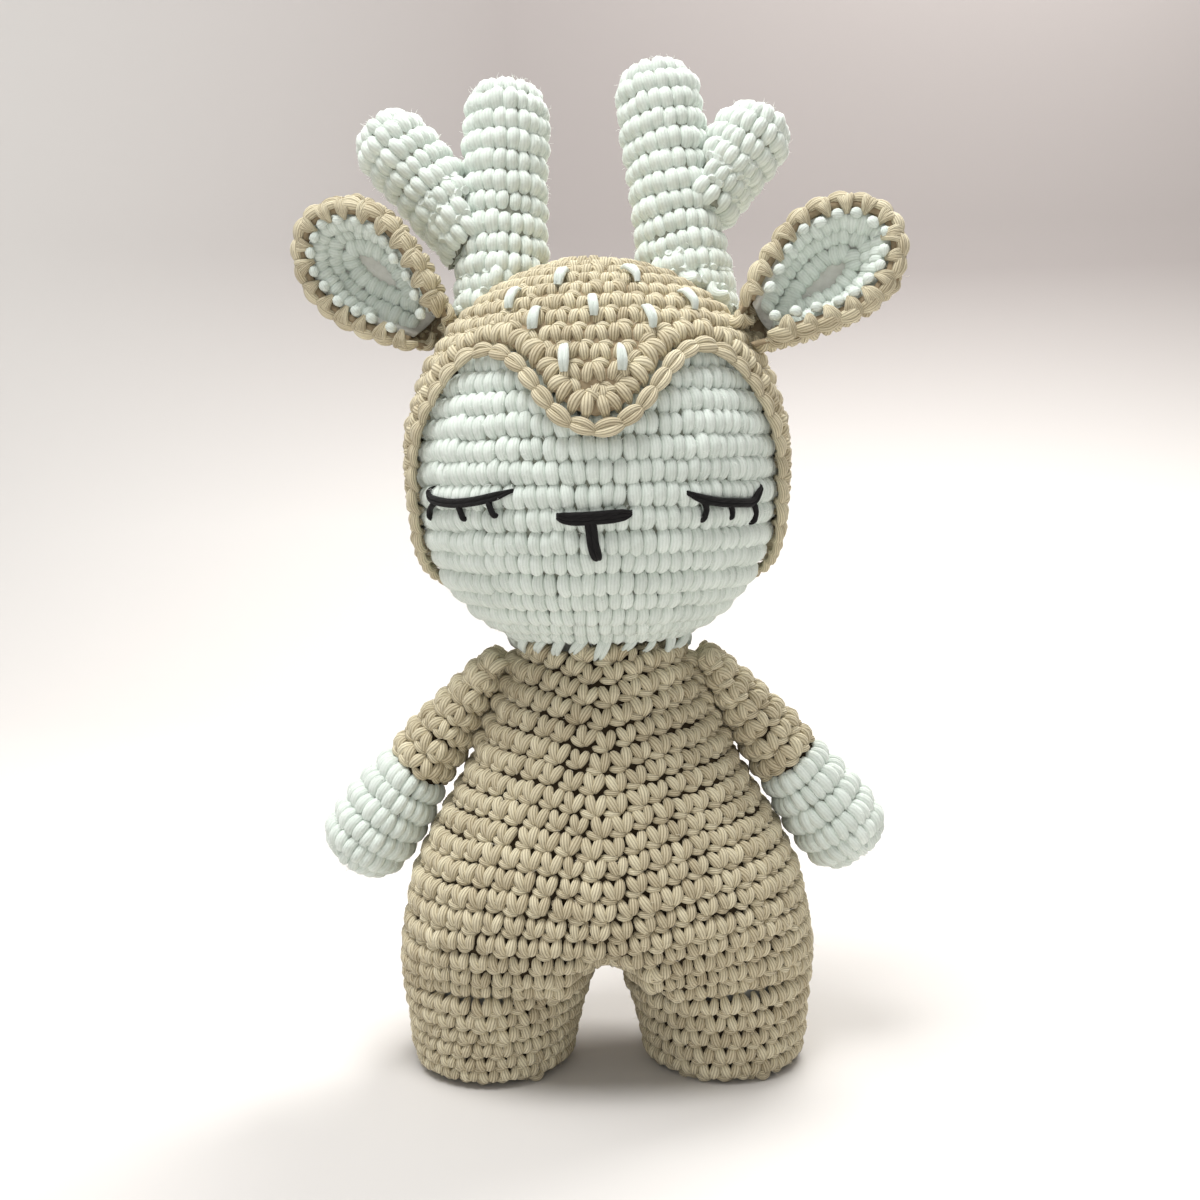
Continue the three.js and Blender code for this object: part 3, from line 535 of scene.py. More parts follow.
def bare_skin(*nodes):
    """The skin of CAD nodes without the faces that other faces lie against."""
    skin = Skin(*nodes)

    def covered(middle, normal):
        near = ALL_FACES.find_nearest_range(Vector(middle), COVERED_WITHIN)
        return any(facing.dot(Vector(normal)) < -0.5 for _, facing, _, _ in near)

    shown = [not covered(middle, normal) for middle, normal in zip(skin.middles, skin.normals)]
    return skin.keep(np.array(shown))


def trace(places, normals, follows):
    """Joins links from point to point into lines of (points, normals, closed)."""
    entered = set(follows.values())
    starts = [key for key in follows if key not in entered]
    loops, runs = [], []
    while follows:
        key = starts.pop() if starts else next(iter(follows))
        line = [key]
        while line[-1] in follows:
            line.append(follows.pop(line[-1]))
        closed = line[0] == line[-1]
        points = np.array([places[key] for key in line])
        facing = np.array([normals[key] for key in line])
        if closed:
            loops.append((points[:-1], facing[:-1], True))
        else:
            runs.append((points, facing))
    return loops + mended(runs)


def mended(runs):
    """Joins lines end to start, where triangles lie edge to edge without sharing points."""
    whole = []
    while runs:
        points, facing = runs.pop()
        while runs:
            after = [np.linalg.norm(other[0][0] - points[-1]) for other in runs]
            before = [np.linalg.norm(other[0][-1] - points[0]) for other in runs]
            if min(after) < MEND_REACH:
                more = runs.pop(int(np.argmin(after)))
                points, facing = (np.concatenate(pair) for pair in zip((points, facing), more))
            elif min(before) < MEND_REACH:
                more = runs.pop(int(np.argmin(before)))
                points, facing = (np.concatenate(pair) for pair in zip(more, (points, facing)))
            else:
                break
        closed = len(points) > 8 and np.linalg.norm(points[0] - points[-1]) < MEND_REACH
        whole.append((points, facing, closed))
    return whole


def unit(vectors):
    return vectors / np.maximum(np.linalg.norm(vectors, axis=-1, keepdims=True), 1e-12)


def smooth(values, width, closed):
    """A moving average along a line."""
    if width < 2:
        return values
    half = width // 2
    if closed:
        before, after = values[-half:], values[:half]
    else:
        before, after = np.repeat(values[:1], half, axis=0), np.repeat(values[-1:], half, axis=0)
    total = np.cumsum(np.concatenate([np.zeros((1, 3)), before, values, after]), axis=0)
    window = 2 * half
    return (total[window:] - total[:-window])[:len(values)] / window


class Line:
    """A level line or a path on a surface, resampled evenly, with its normals."""

    def __init__(self, points, normals, closed, smoothing=SMOOTHING):
        ring = np.concatenate([points, points[:1]]) if closed else points
        facing = unit(np.concatenate([normals, normals[:1]]) if closed else normals)
        steps = np.linalg.norm(np.diff(ring, axis=0), axis=1)
        walked = np.concatenate([[0], np.cumsum(steps)])
        self.length = walked[-1]
        self.closed = closed
        count = max(int(self.length / LINE_STEP), 8)
        at = np.linspace(0, self.length, count, endpoint=not closed)
        width = min(int(smoothing / LINE_STEP), count // 4)

        def even(values):
            spread = [np.interp(at, walked, values[:, axis]) for axis in range(3)]
            return smooth(np.stack(spread, axis=1), width, closed)

        self.points = even(ring)
        self.normals = unit(even(facing))

    def faces_out(self):
        """Whether the normals point away from what the line goes round."""
        return float(((self.points - self.points.mean(axis=0)) * self.normals).sum()) > 0

    def at(self, distances):
        """Places, directions and normals at distances along the line."""
        count = len(self.points)
        step = self.length / count if self.closed else self.length / (count - 1)
        share = np.asarray(distances) / step
        low = np.floor(share).astype(int)
        between = (share - low)[:, None]

        def pick(values, index):
            return values[index % count if self.closed else np.clip(index, 0, count - 1)]

        place = pick(self.points, low) * (1 - between) + pick(self.points, low + 1) * between
        normal = unit(pick(self.normals, low) * (1 - between) + pick(self.normals, low + 1) * between)
        return place, unit(pick(self.points, low + 2) - pick(self.points, low - 1)), normal

    def start_near(self, direction):
        """The distance along the line to the point that lies furthest in a direction."""
        return float(np.argmax(self.points @ np.asarray(direction))) * self.length / len(self.points)


class Stitches:
    """Cells for stitches: a place each, with its right, up and outward directions and its size."""

    KEYS = ("place", "right", "out", "width", "height")

    def __init__(self, place, right, out, width, height):
        self.place = place
        self.right = right
        self.up = unit(np.cross(out, right))
        self.out = unit(np.cross(right, self.up))
        self.width = np.broadcast_to(np.asarray(width, float), len(place)).copy()
        self.height = np.broadcast_to(np.asarray(height, float), len(place)).copy()

    def where(self, chosen):
        return Stitches(*(getattr(self, key)[chosen] for key in self.KEYS))

    def jittered(self, random, shift=0.03, turn=0.07, grow=0.045):
        """Each a little out of place, turned and resized, as handwork is."""
        count = len(self.place)
        angle = random.normal(0, turn, (count, 1))
        right = unit(self.right * np.cos(angle) + self.up * np.sin(angle))
        moved = random.normal(0, shift, (count, 2)) * self.width[:, None]
        place = self.place + self.right * moved[:, :1] + self.up * moved[:, 1:]
        size = 1 + random.normal(0, grow, count)
        return Stitches(place, right, self.out, self.width * size, self.height * size)

    def strands(self, shares, random, sink, fat):
        """The yarn of one strand of a stitch in every cell, as (points, radii, tints)."""
        table = np.array(shares)
        width, height = self.width[:, None, None], self.height[:, None, None]
        points = (
            self.place[:, None]
            + self.right[:, None] * table[None, :, 0, None] * width
            + self.up[:, None] * table[None, :, 1, None] * height
            + self.out[:, None] * (table[None, :, 2, None] * width - sink)
        )
        return points, table[None, :, 3] * width[:, :, 0] * fat, random.random(len(points))

    def hairs(self, random, each, length):
        """Loose fibres that stand off the stitches, as (points, radii, tints)."""
        cells = self.where(np.repeat(np.arange(len(self.place)), each))
        across, along = random.uniform(-0.45, 0.45, (2, len(cells.place), 1))
        root = (
            cells.place
            + cells.right * across * cells.width[:, None]
            + cells.up * along * cells.height[:, None]
            - cells.out * HAIR_ROOT
        )
        reach = random.uniform(0.5, 1.0, (len(cells.place), 1)) * length
        points, heading = [root], cells.out
        for step in HAIR_STEPS:
            heading = unit(heading + random.normal(0, HAIR_CURL, heading.shape))
            points.append(points[-1] + heading * step * reach)
        points = np.stack(points, axis=1)
        return [(points, np.tile(HAIR_RADII, (len(points), 1)), random.random(len(points)))]

    def worked(self, gauge, random, **jitter):
        """The yarn of all strands of the stitches."""
        cells = self.jittered(random, **jitter)
        return [cells.strands(shares, random, gauge.sink, gauge.fat) for shares in gauge.pattern]


def together(groups):
    groups = [group for group in groups if len(group.place)]
    return Stitches(*(np.concatenate([getattr(group, key) for group in groups]) for key in Stitches.KEYS))


def stitches_along(line, gauge, shift=0.0, height=None):
    """One round or row of stitches on a line."""
    count = max(int(round(line.length / gauge.width)), 5 if line.closed else 1)
    width = line.length / count
    distances = (np.arange(count) + 0.5 + shift % 1) * width
    if line.closed:
        distances = (distances + line.start_near((0, 1, 0))) % line.length
    else:
        distances = distances[distances < line.length]
    place, right, normal = line.at(distances)
    return Stitches(place, right, normal, width, height or gauge.height)


def outer_lines(skin, field, level):
    lines = [Line(*found) for found in skin.level_lines(field, level) if len(found[0]) > 4]
    return [line for line in lines if line.faces_out() and line.length > SMOOTHING]


def rounds(skin, axis, gauge, inset=0.4 * MM, sag=None, tightness=None, from_top=False):
    """Rounds of stitches square to an axis, evenly spaced along the skin from its low to its high end.

    sag gives how far a round lies above its level at each point, and tightness how close rounds lie at
    a level, as a share of the gauge. With from_top, rounds are counted from the high end.
    """
    axis = unit(np.asarray(axis, float))
    field = skin.points @ axis
    if sag is not None:
        field = field - sag(skin.points)
    low, high = field.min() + inset, field.max() - inset
    samples = low + (high - low) * (0.5 - 0.5 * np.cos(np.linspace(0.02, math.pi - 0.02, ROUND_SAMPLES)))
    steep, found = [], []
    for level in samples:
        lines = outer_lines(skin, field, level)
        if lines:
            normals = np.concatenate([line.normals for line in lines])
            steep.append(max(np.sqrt(1 - np.minimum(normals @ axis, 1) ** 2).mean(), FLATTEST))
            found.append(level)
    steps = np.diff(found) / (np.array(steep[1:]) + steep[:-1]) * 2
    if tightness is not None:
        steps = steps / [tightness(level) for level in found[1:]]
    walked = np.concatenate([[0], np.cumsum(steps)])
    made = []
    marks = np.arange(0.25 * gauge.height, walked[-1], gauge.height)
    if from_top:
        marks = (walked[-1] - marks)[::-1]
    for number, level in enumerate(np.interp(marks, walked, found)):
        height = gauge.height * (tightness(level) if tightness else 1)
        for line in outer_lines(skin, field, level):
            made.append(stitches_along(line, gauge, number * gauge.lean, height))
    cells = together(made)
    if sag is not None:
        rise = (sag(cells.place + cells.up * STEP_UP) - sag(cells.place)) / STEP_UP
        slope = cells.up @ axis
        cells.height *= np.clip(slope / np.maximum(slope - rise, 0.1), 0.7, 1.6)
    return cells


def filled(cells, skin, axis, gauge):
    """The stitches, and more of them wherever they leave a gap on the skin."""
    known = KDTree(len(cells.place))
    for index, place in enumerate(cells.place):
        known.insert(place, index)
    known.balance()
    gap = np.array([known.find(middle)[2] for middle in skin.middles])
    added = []
    while gap.max() > gauge.width * GAP_SHARE:
        widest = int(np.argmax(gap))
        added.append(widest)
        gap = np.minimum(gap, np.linalg.norm(skin.middles - skin.middles[widest], axis=1))
    if not added:
        return cells
    right = np.cross(unit(np.asarray(axis, float)), skin.normals[added])
    level = np.linalg.norm(right, axis=1) < 0.2
    right[level] = np.cross((0, 1, 0), skin.normals[added][level])
    more = Stitches(skin.middles[added], unit(right), skin.normals[added], gauge.width, gauge.height)
    return together([cells, more])


def distance_to(path, points):
    """How far each point lies from a path."""
    return np.sqrt(((points[:, None] - path[None, ::3]) ** 2).sum(axis=2)).min(axis=1)


def rows_from(skin, path, gauge, distances):
    """Rows of stitches on a skin at distances from a path, each set off by half a stitch."""
    field = distance_to(path, skin.points)
    made = []
    for number, distance in enumerate(distances):
        for found in skin.level_lines(field, distance):
            line = Line(*found)
            if line.length > gauge.width:
                made.append(stitches_along(line, gauge, number / 2))
    return together(made)


# What CAD nodes say


def merged(*nodes):
    """The mesh of CAD nodes with each point only once."""
    mesh = bmesh.new()
    for node in nodes:
        mesh.from_mesh(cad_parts[node].data)
    bmesh.ops.remove_doubles(mesh, verts=mesh.verts, dist=0.002 * MM)
    mesh.normal_update()
    return mesh


def points_of(*nodes):
    return np.array([vertex.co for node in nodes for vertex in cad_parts[node].data.vertices])


def axes_of(points):
    """Directions square to each other, from the one in which points spread most."""
    return np.linalg.svd(points - points.mean(axis=0), full_matrices=False)[2]


def towards(direction, axis):
    """The axis, turned round if it points away from a direction."""
    return axis if axis @ direction > 0 else -axis


def tube_middles(node):
    """The middles of a CAD tube's rings of points, in the order of its mesh."""
    mesh = merged(node)
    lengths = sorted(edge.calc_length() for edge in mesh.edges)
    short = 1.35 * lengths[len(lengths) // 10]
    middles, left = [], dict.fromkeys(mesh.verts)  # a set's order changes from run to run
    while left:
        ring, ahead = [], [left.popitem()[0]]
        while ahead:
            vertex = ahead.pop()
            ring.append(vertex.co)
            for edge in vertex.link_edges:
                other = edge.other_vert(vertex)
                if other in left and edge.calc_length() < short:
                    del left[other]
                    ahead.append(other)
        if len(ring) > 3:
            middles.append(np.mean(ring, axis=0))
    mesh.free()
    return np.array(middles)


def in_order(points, start):
    """Points from one on, each followed by the nearest one that is left."""
    left = list(range(len(points)))
    order = [left.pop(start)]
    while left:
        nearest = min(left, key=lambda index: np.linalg.norm(points[index] - points[order[-1]]))
        left.remove(nearest)
        order.append(nearest)
    return points[order]


def rounded(points, closed, cuts=6):
    """A smooth curve through points, closed or open, by Catmull-Rom."""
    if closed:
        padded = np.concatenate([points[-1:], points, points[:2]])
    else:
        padded = np.concatenate([2 * points[:1] - points[1:2], points, 2 * points[-1:] - points[-2:-1]])
    t = np.linspace(0, 1, cuts, endpoint=False)[None, :, None]
    a, b, c, d = (padded[i:len(padded) - 3 + i, None] for i in range(4))
    curve = 0.5 * (2 * b + (c - a) * t + (2 * a - 5 * b + 4 * c - d) * t ** 2
                   + (3 * b - a - 3 * c + d) * t ** 3)
    curve = curve.reshape(-1, 3)
    return curve if closed else np.concatenate([curve, points[-1:]])


# Pieces


def new_piece(name, mesh, material):
    for polygon in mesh.polygons:
        polygon.use_smooth = True
        polygon.material_index = 0
    mesh.materials.clear()
    mesh.materials.append(material)
    return new_object(name, mesh)


def drawn_in(name, mesh, depth, material):
    """A piece from a mesh whose points move inwards, each by its own depth."""
    moves = [(vertex, vertex.normal * depth(vertex)) for vertex in mesh.verts]
    for vertex, move in moves:
        vertex.co -= move
    made = bpy.data.meshes.new(name)
    mesh.to_mesh(made)
    mesh.free()
    return new_piece(name, made, material)


def ground(name, nodes, material, sink=BASE_SINK):
    """The fabric below the stitches: the CAD skin drawn in."""
    return drawn_in(name, merged(*nodes), lambda vertex: sink, material)


def join(name, *parts):
    """One object of several, with the first one's place."""
    with bpy.context.temp_override(
        active_object=parts[0], object=parts[0], selected_objects=parts, selected_editable_objects=parts
    ):
        bpy.ops.object.join()
    parts[0].name = name
    parts[0].data.name = name
    return parts[0]


def fabric(name, base, cells, gauge, random, yarn, sides=YARN_SIDES):
    """Stitches and their loose fibres, joined to the fabric below them."""
    work = spin(f"{name}_yarn", cells.worked(gauge, random), yarn, sides=sides)
    white = yarn is white_yarn
    hairs = cells.hairs(random, WHITE_HAIRS if white else BEIGE_HAIRS, HAIR_LENGTH)
    fuzz = spin(f"{name}_hairs", hairs, white_hair if white else beige_hair, cuts=1, sides=3)
    return join(name, base, work, fuzz)


def dress(piece, body, nodes=()):
    """Puts a piece on the body it rides on, and hides the CAD nodes it stands for."""
    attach(piece, body)
    if nodes:
        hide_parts(*nodes)


# The rounds of the torso sag in front, more to one side than to the other, and lie closer on the legs
SAG_DEPTH = 3.6 * MM
SAG_WIDTH_DEGREES = 22
SAG_ROUND_DEGREES = 14  # where the sag is rounded in the middle
SAG_FROM, SAG_TO = 4 * MM, 38 * MM  # the heights between which it sets in
TILT_HEIGHTS = (0, 15 * MM, 25 * MM, 45 * MM, 60 * MM, 77 * MM)
TILTS = (0, 1.6 * MM, 2.4 * MM, 1.2 * MM, 0.2 * MM, -0.8 * MM)
TIGHTNESS_HEIGHTS = (16 * MM, 32 * MM)
TIGHTNESS_SHARES = (0.74, 1.0)


def body_sag(points):
    """How far the rounds of the torso lie above their level at points."""
    across, forwards, height = points[:, 0], -points[:, 1], points[:, 2]
    azimuth = np.degrees(np.abs(np.arctan2(across, forwards)))
    share = np.clip((height - SAG_FROM) / (SAG_TO - SAG_FROM), 0, 1)
    share = share * share * (3 - 2 * share)
    dip = SAG_DEPTH * share * (1 - np.exp(-azimuth ** 2 / (azimuth + SAG_ROUND_DEGREES) / SAG_WIDTH_DEGREES))
    half_width = np.abs(points[:, 0]).max()
    side = np.clip(across / np.maximum(np.hypot(across, forwards), 1 * MM), -1, 1)
    side = side * share + across / half_width * (1 - share)
    return dip + side * np.interp(height, TILT_HEIGHTS, TILTS)


def body_tightness(level):
    return float(np.interp(level, TIGHTNESS_HEIGHTS, TIGHTNESS_SHARES))


def body_of_doll():
    random = np.random.default_rng(11)
    nodes = ("torso", "left_leg", "right_leg")
    skin = bare_skin(*nodes)
    cells = rounds(skin, (0, 0, 1), BODY, 0.4 * MM, body_sag, body_tightness, from_top=True)
    cells = filled(cells, skin, (0, 0, 1), BODY)
    base = ground("body_ground", nodes, beige_painted_shade)
    piece = fabric("body_fabric", base, cells, BODY, random, beige_yarn)
    dress(piece, "body", nodes)


def head_of_doll():
    """White stitches where the hood leaves the head bare, and just under its edge."""
    random = np.random.default_rng(12)
    cells = rounds(Skin("head"), (0, 0, 1), FACE)
    hood = Skin("hood", longest=UNCUT).tree

    def bare(points, normals):
        return np.array([
            hood.ray_cast(Vector(point + normal * 0.05 * MM), Vector(normal))[0] is None
            for point, normal in zip(points, normals)
        ])

    shown = bare(cells.place, cells.out)
    for right, up in ((1, 0), (-1, 0), (0, 1), (0, -1)):
        step = (cells.right * right + cells.up * up) * FACE.width * 0.8
        shown |= bare(cells.place + step, cells.out)
    base = ground("head_ground", ("head",), white_painted_shade)
    piece = fabric("head_fabric", base, cells.where(shown), FACE, random, white_yarn)
    dress(piece, "head_and_antlers", ("head",))


HOOD_GROUND_SINK = 0.6 * MM
HOOD_YARN_SIDES = 6  # fewer than elsewhere, as this piece has the most stitches on the head
HEAD_CENTRE = np.array(Vector((0, 0, (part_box("head")[1].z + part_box("head")[0].z) / 2)))


def hood_of_doll():
    """Rounds worked down from the crown, a border row that follows the edge, and a rope on the edge."""
    random = np.random.default_rng(13)
    skin = Skin("hood")
    skin.keep(np.einsum("ij,ij->i", skin.normals, unit(skin.middles - HEAD_CENTRE)) > 0.5)
    path = rounded(in_order(tube_middles("hood_edging"), 0), True)
    edge = HOOD_ROPE.height / 2 + 0.4 * MM
    border = rows_from(skin, path, HOOD_BORDER, [edge + 0.5 * HOOD_BORDER.height])
    cells = rounds(skin, (0, 0, 1), HOOD)
    inside = distance_to(path, cells.place) > edge + 0.8 * HOOD_BORDER.height
    base = ground("hood_ground", ("hood",), beige_shade, HOOD_GROUND_SINK)
    piece = fabric("hood_fabric", base, cells.where(inside), HOOD, random, beige_yarn, HOOD_YARN_SIDES)
    dress(piece, "head_and_antlers", ("hood",))
    piece = spin("hood_border", border.worked(HOOD_BORDER, random), beige_yarn)
    dress(piece, "head_and_antlers")
    line = Line(path, path - HEAD_CENTRE, True, PATH_SMOOTHING)
    rope = stitches_along(line, HOOD_ROPE)
    piece = spin("hood_rope", rope.worked(HOOD_ROPE, random, turn=0.05, shift=0.02), beige_yarn, cuts=3)
    dress(piece, "head_and_antlers", ("hood_edging",))


BEIGE = (beige_yarn, beige_painted_shade, "beige_cotton")
WHITE = (white_yarn, white_painted_shade, "white_cotton")


def limb(parts, body, seed):
    """Tubes in one line, in rounds square to their axis.

    A part is (node, gauge, from_top, colours, beside): its stitches stay clear of the node beside it.
    """
    random = np.random.default_rng(seed)
    direction = towards((0, 0, 1), axes_of(points_of(*[node for node, *_ in parts]))[0])
    for node, gauge, from_top, (yarn, below, slot), beside in parts:
        skin = bare_skin(node)
        cells = rounds(skin, direction, gauge, 0.15 * MM, from_top=from_top)
        cells = filled(cells, skin, direction, gauge)
        if beside:
            tree = Skin(beside, longest=UNCUT).tree
            away = [tree.find_nearest(place)[3] for place in cells.place]
            cells = cells.where(np.array(away) > gauge.height * 0.35)
        base = ground(f"{node}_ground", (node,), below)
        piece = fabric(f"{node}_fabric", base, cells, gauge, random, yarn)
        dress(piece, body, (node,))


# Rows of an ear: how far from the rim the first one lies, and how far past the ear's half width they go
EAR_LINING_FROM, EAR_LINING_PAST = 2.4 * MM, 4 * MM
EAR_SHELL_FROM, EAR_SHELL_PAST = 1.2 * MM, 8 * MM
EAR_SINK, EAR_SHELL_SINK = 0.3 * MM, 0.4 * MM  # of the ground fabric
EAR_RIDGE_OUT = 0.9 * MM  # from the rim's middle
EAR_WRAP_LIFT = 0.3 * MM


def ear_rim(side):
    """The path along an ear's rim from where it leaves the head, its centre, open side and half width."""
    middles = tube_middles(f"{side}_ear_edging")
    centre = middles.mean(axis=0)
    front = towards((0, -1, 0), axes_of(middles)[2])
    away = np.linalg.norm(middles - HEAD_CENTRE, axis=1)
    path = rounded(in_order(middles, int(np.argmin(away))), False)
    if np.cross(path[len(path) // 3] - centre, path[2 * len(path) // 3] - centre) @ front > 0:
        path = path[::-1]
    return path, centre, front, np.linalg.norm(middles - centre, axis=1).min()


def ear(side, seed):
    """A white lining in a beige shell, with wraps of beige yarn round the rim between white bumps."""
    random = np.random.default_rng(seed)
    body = f"{side}_ear"
    back, inside, edging = (f"{body}_{name}" for name in ("back", "lining", "edging"))
    path, centre, front, half = ear_rim(side)
    outwards = unit(path - centre)

    lining = Skin(inside)
    lining.keep(lining.normals @ front > 0.15)
    rows = np.arange(EAR_LINING_FROM, half + EAR_LINING_PAST, EAR_LINING.height)
    cells = rows_from(lining, path, EAR_LINING, rows)
    base = ground(f"{body}_lining_ground", (inside,), white_fibre, EAR_SINK)
    piece = fabric(f"{body}_inside", base, cells, EAR_LINING, random, white_yarn)
    dress(piece, body, (inside,))

    shell = Skin(back)
    shell.keep(shell.normals @ front < 0.5)
    rows = np.arange(EAR_SHELL_FROM, half + EAR_SHELL_PAST, EAR_SHELL.height)
    cells = rows_from(shell, path, EAR_SHELL, rows)
    outer = ((cells.place - centre) * cells.out).sum(axis=1) > 0
    base = ground(f"{body}_shell_ground", (back,), beige_shade, EAR_SHELL_SINK)
    piece = fabric(f"{body}_shell", base, cells.where(outer), EAR_SHELL, random, beige_yarn)
    dress(piece, body, (back,))

    ridge = Line(path + outwards * EAR_RIDGE_OUT, outwards * 0.8 + front * 0.6, False, PATH_SMOOTHING)
    wrap = Line(path + front * EAR_WRAP_LIFT, front + outwards * 0.1, False, PATH_SMOOTHING)
    strands = stitches_along(ridge, EAR_RIDGE).worked(EAR_RIDGE, random, turn=0.05, shift=0.02)
    wraps = stitches_along(wrap, EAR_WRAP)
    strands += wraps.worked(EAR_WRAP, random, turn=0.12)
    base = ground(f"{body}_rim_ground", (edging,), beige_shade, EAR_SINK)
    piece = join(f"{body}_rim", base, spin(f"{body}_rim_yarn", strands, beige_yarn))
    dress(piece, body, (edging,))
    bumps = spin(f"{body}_bumps", wraps.worked(EAR_BUMP, random), white_yarn)
    dress(bumps, body)


# Embroidery: each thread runs over the face, through pixels of the photograph

LIDS = {
    "right_eye": [(431, 487), (434, 497), (442, 501), (458, 503), (478, 501), (498, 496), (515, 490)],
    "left_eye": [(682, 491), (698, 498), (715, 501), (735, 502), (749, 501), (755, 493), (759, 484)],
}
LASHES = {
    "right_eye": [
        [(440, 500), (434, 509), (434, 520)],
        [(461, 504), (464, 512), (467, 520)],
        [(490, 500), (493, 508), (497, 517)],
    ],
    "left_eye": [
        [(701, 499), (704, 509), (700, 522)],
        [(727, 501), (729, 510), (728, 519)],
        [(750, 501), (752, 512), (749, 524)],
    ],
}
NOSE_BAR = [(554, 515), (572, 518), (596, 517), (616, 515), (634, 512)]
NOSE_DROP = [(590, 519), (592, 530), (594, 545), (599, 561)]
THREAD_LIFT = 0.75 * MM  # above the CAD skin
THREAD_ENDS = (-0.9 * MM, 0.35 * MM)  # the lift at each end, and next to it
LID_RADIUS, LASH_RADIUS = 0.46 * MM, 0.52 * MM
BAR_RADIUS, DROP_RADIUS = 0.5 * MM, 0.58 * MM
LID_OFFSETS = (-0.32 * MM, 0.32 * MM)  # of threads that lie side by side
BAR_OFFSETS = (-0.6 * MM, 0, 0.6 * MM)
DROP_OFFSETS = (-0.42 * MM, 0.42 * MM)


class Embroidery:
    """Black thread sewn over the face."""

    def __init__(self, seed):
        self.random = np.random.default_rng(seed)
        self.face = Skin("head", longest=UNCUT).tree
        self.strands = []

    def sew(self, pixels, radius, offset=0.0, taper=0.45):
        """A thread through pixels of the photograph, shifted across by an offset."""
        places, normals = [], []
        for pixel in pixels:
            place, normal, _, _ = self.face.ray_cast(CAMERA_PLACE, pixel_ray(pixel))
            places.append(place)
            normals.append(normal)
        curve = rounded(np.array(places), False, 5)
        facing = unit(rounded(np.array(normals), False, 5))
        along = unit(np.gradient(curve, axis=0))
        lift = np.full(len(curve), THREAD_LIFT)
        lift[[0, -1]], lift[[1, -2]] = THREAD_ENDS
        apart = np.minimum(1, 0.25 + np.linspace(0, 5, len(curve)))
        apart = offset * np.minimum(apart, apart[::-1])
        curve = curve + facing * lift[:, None] + unit(np.cross(facing, along)) * apart[:, None]
        radii = radius * np.minimum(1, taper + np.linspace(0, 2.5, len(curve)))
        radii = np.minimum(radii, radii[::-1])
        self.strands.append((curve[None], radii[None], self.random.random(1)))

    def finish(self, node):
        """Spins what was sewn since the last piece, to stand for a CAD node."""
        piece = spin(f"{node}_threads", self.strands, black_thread)
        self.strands = []
        dress(piece, "head_and_antlers", (node,))


def face_of_doll():
    sewing = Embroidery(41)
    for eye, lid in LIDS.items():
        for offset in LID_OFFSETS:
            sewing.sew(lid, LID_RADIUS, offset)
        for lash in LASHES[eye]:
            sewing.sew(lash, LASH_RADIUS, taper=0.7)
        sewing.finish(eye)
    for offset in BAR_OFFSETS:
        sewing.sew(NOSE_BAR, BAR_RADIUS, offset, 0.3)
    for offset in DROP_OFFSETS:
        sewing.sew(NOSE_DROP, DROP_RADIUS, offset, 0.6)
    sewing.finish("nose")


SPOTS = 9
SPOT_WIDTH = 2.3 * MM
SPOT_OFFSETS = np.array([-0.36, 0, 0.36]) * MM  # of its threads
SPOT_SINK = 0.1 * MM


def spots():
    """White stitches on the hood, each of three threads side by side."""
    random = np.random.default_rng(42)
    gauge = Gauge(0, 0, 0.0, [SPOT_SHARES])
    for number in range(1, SPOTS + 1):
        node = f"spot_{number}"
        points = points_of(node)
        centre = points.mean(axis=0)
        up = towards((0, 0, 1), axes_of(points)[0])
        out = unit(centre - HEAD_CENTRE)
        right = unit(np.cross(up, out))
        place = centre + right * SPOT_OFFSETS[:, None] - out * SPOT_SINK
        rights, outs = (np.tile(vector, (len(place), 1)) for vector in (right, out))
        cells = Stitches(place, rights, outs, SPOT_WIDTH, np.ptp(points @ up) * 0.95)
        piece = spin(f"hood_{node}", cells.worked(gauge, random, turn=0.1, shift=0.03), white_yarn, cuts=3)
        dress(piece, "head_and_antlers", (node,))


NECK_WHIPS = 23
NECK_WHIP_WIDTH, NECK_WHIP_HEIGHT = 3.9 * MM, 3.6 * MM
NECK_WHIP_IN, NECK_WHIP_UP = 0.9 * MM, 0.3 * MM  # from the seam's outside and its middle height
SECOND_WHIP = [(right - 0.2, up * 0.9, out, radius) for right, up, out, radius in WHIP_SHARES]


def neck_of_doll():
    """White whip stitches that sew the head to the neck."""
    random = np.random.default_rng(43)
    low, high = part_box("neck_seam")
    radius = (high.x - low.x) / 2 - NECK_WHIP_IN
    turn = (np.arange(NECK_WHIPS) + 0.5) / NECK_WHIPS * 2 * math.pi
    out = np.stack([np.cos(turn), np.sin(turn), np.full(NECK_WHIPS, -0.15)], axis=1)
    right = np.stack([-np.sin(turn), np.cos(turn), np.zeros(NECK_WHIPS)], axis=1)
    place = out * radius
    place[:, 2] = (low.z + high.z) / 2 + NECK_WHIP_UP
    cells = Stitches(place, right, unit(out), NECK_WHIP_WIDTH, NECK_WHIP_HEIGHT)
    gauge = Gauge(0, 0, 0.0, [WHIP_SHARES, SECOND_WHIP])
    piece = spin("neck_stitches", cells.worked(gauge, random, shift=0.08, turn=0.3, grow=0.12), white_yarn)
    dress(piece, "head_and_antlers", ("neck_seam",))


SHOULDER_ROWS = 5
SHOULDER_COLUMNS = 3
SHOULDER_LIFT = 0.9 * MM  # above the torso's skin
BESIDE_DOLL = 60 * MM  # outside every piece


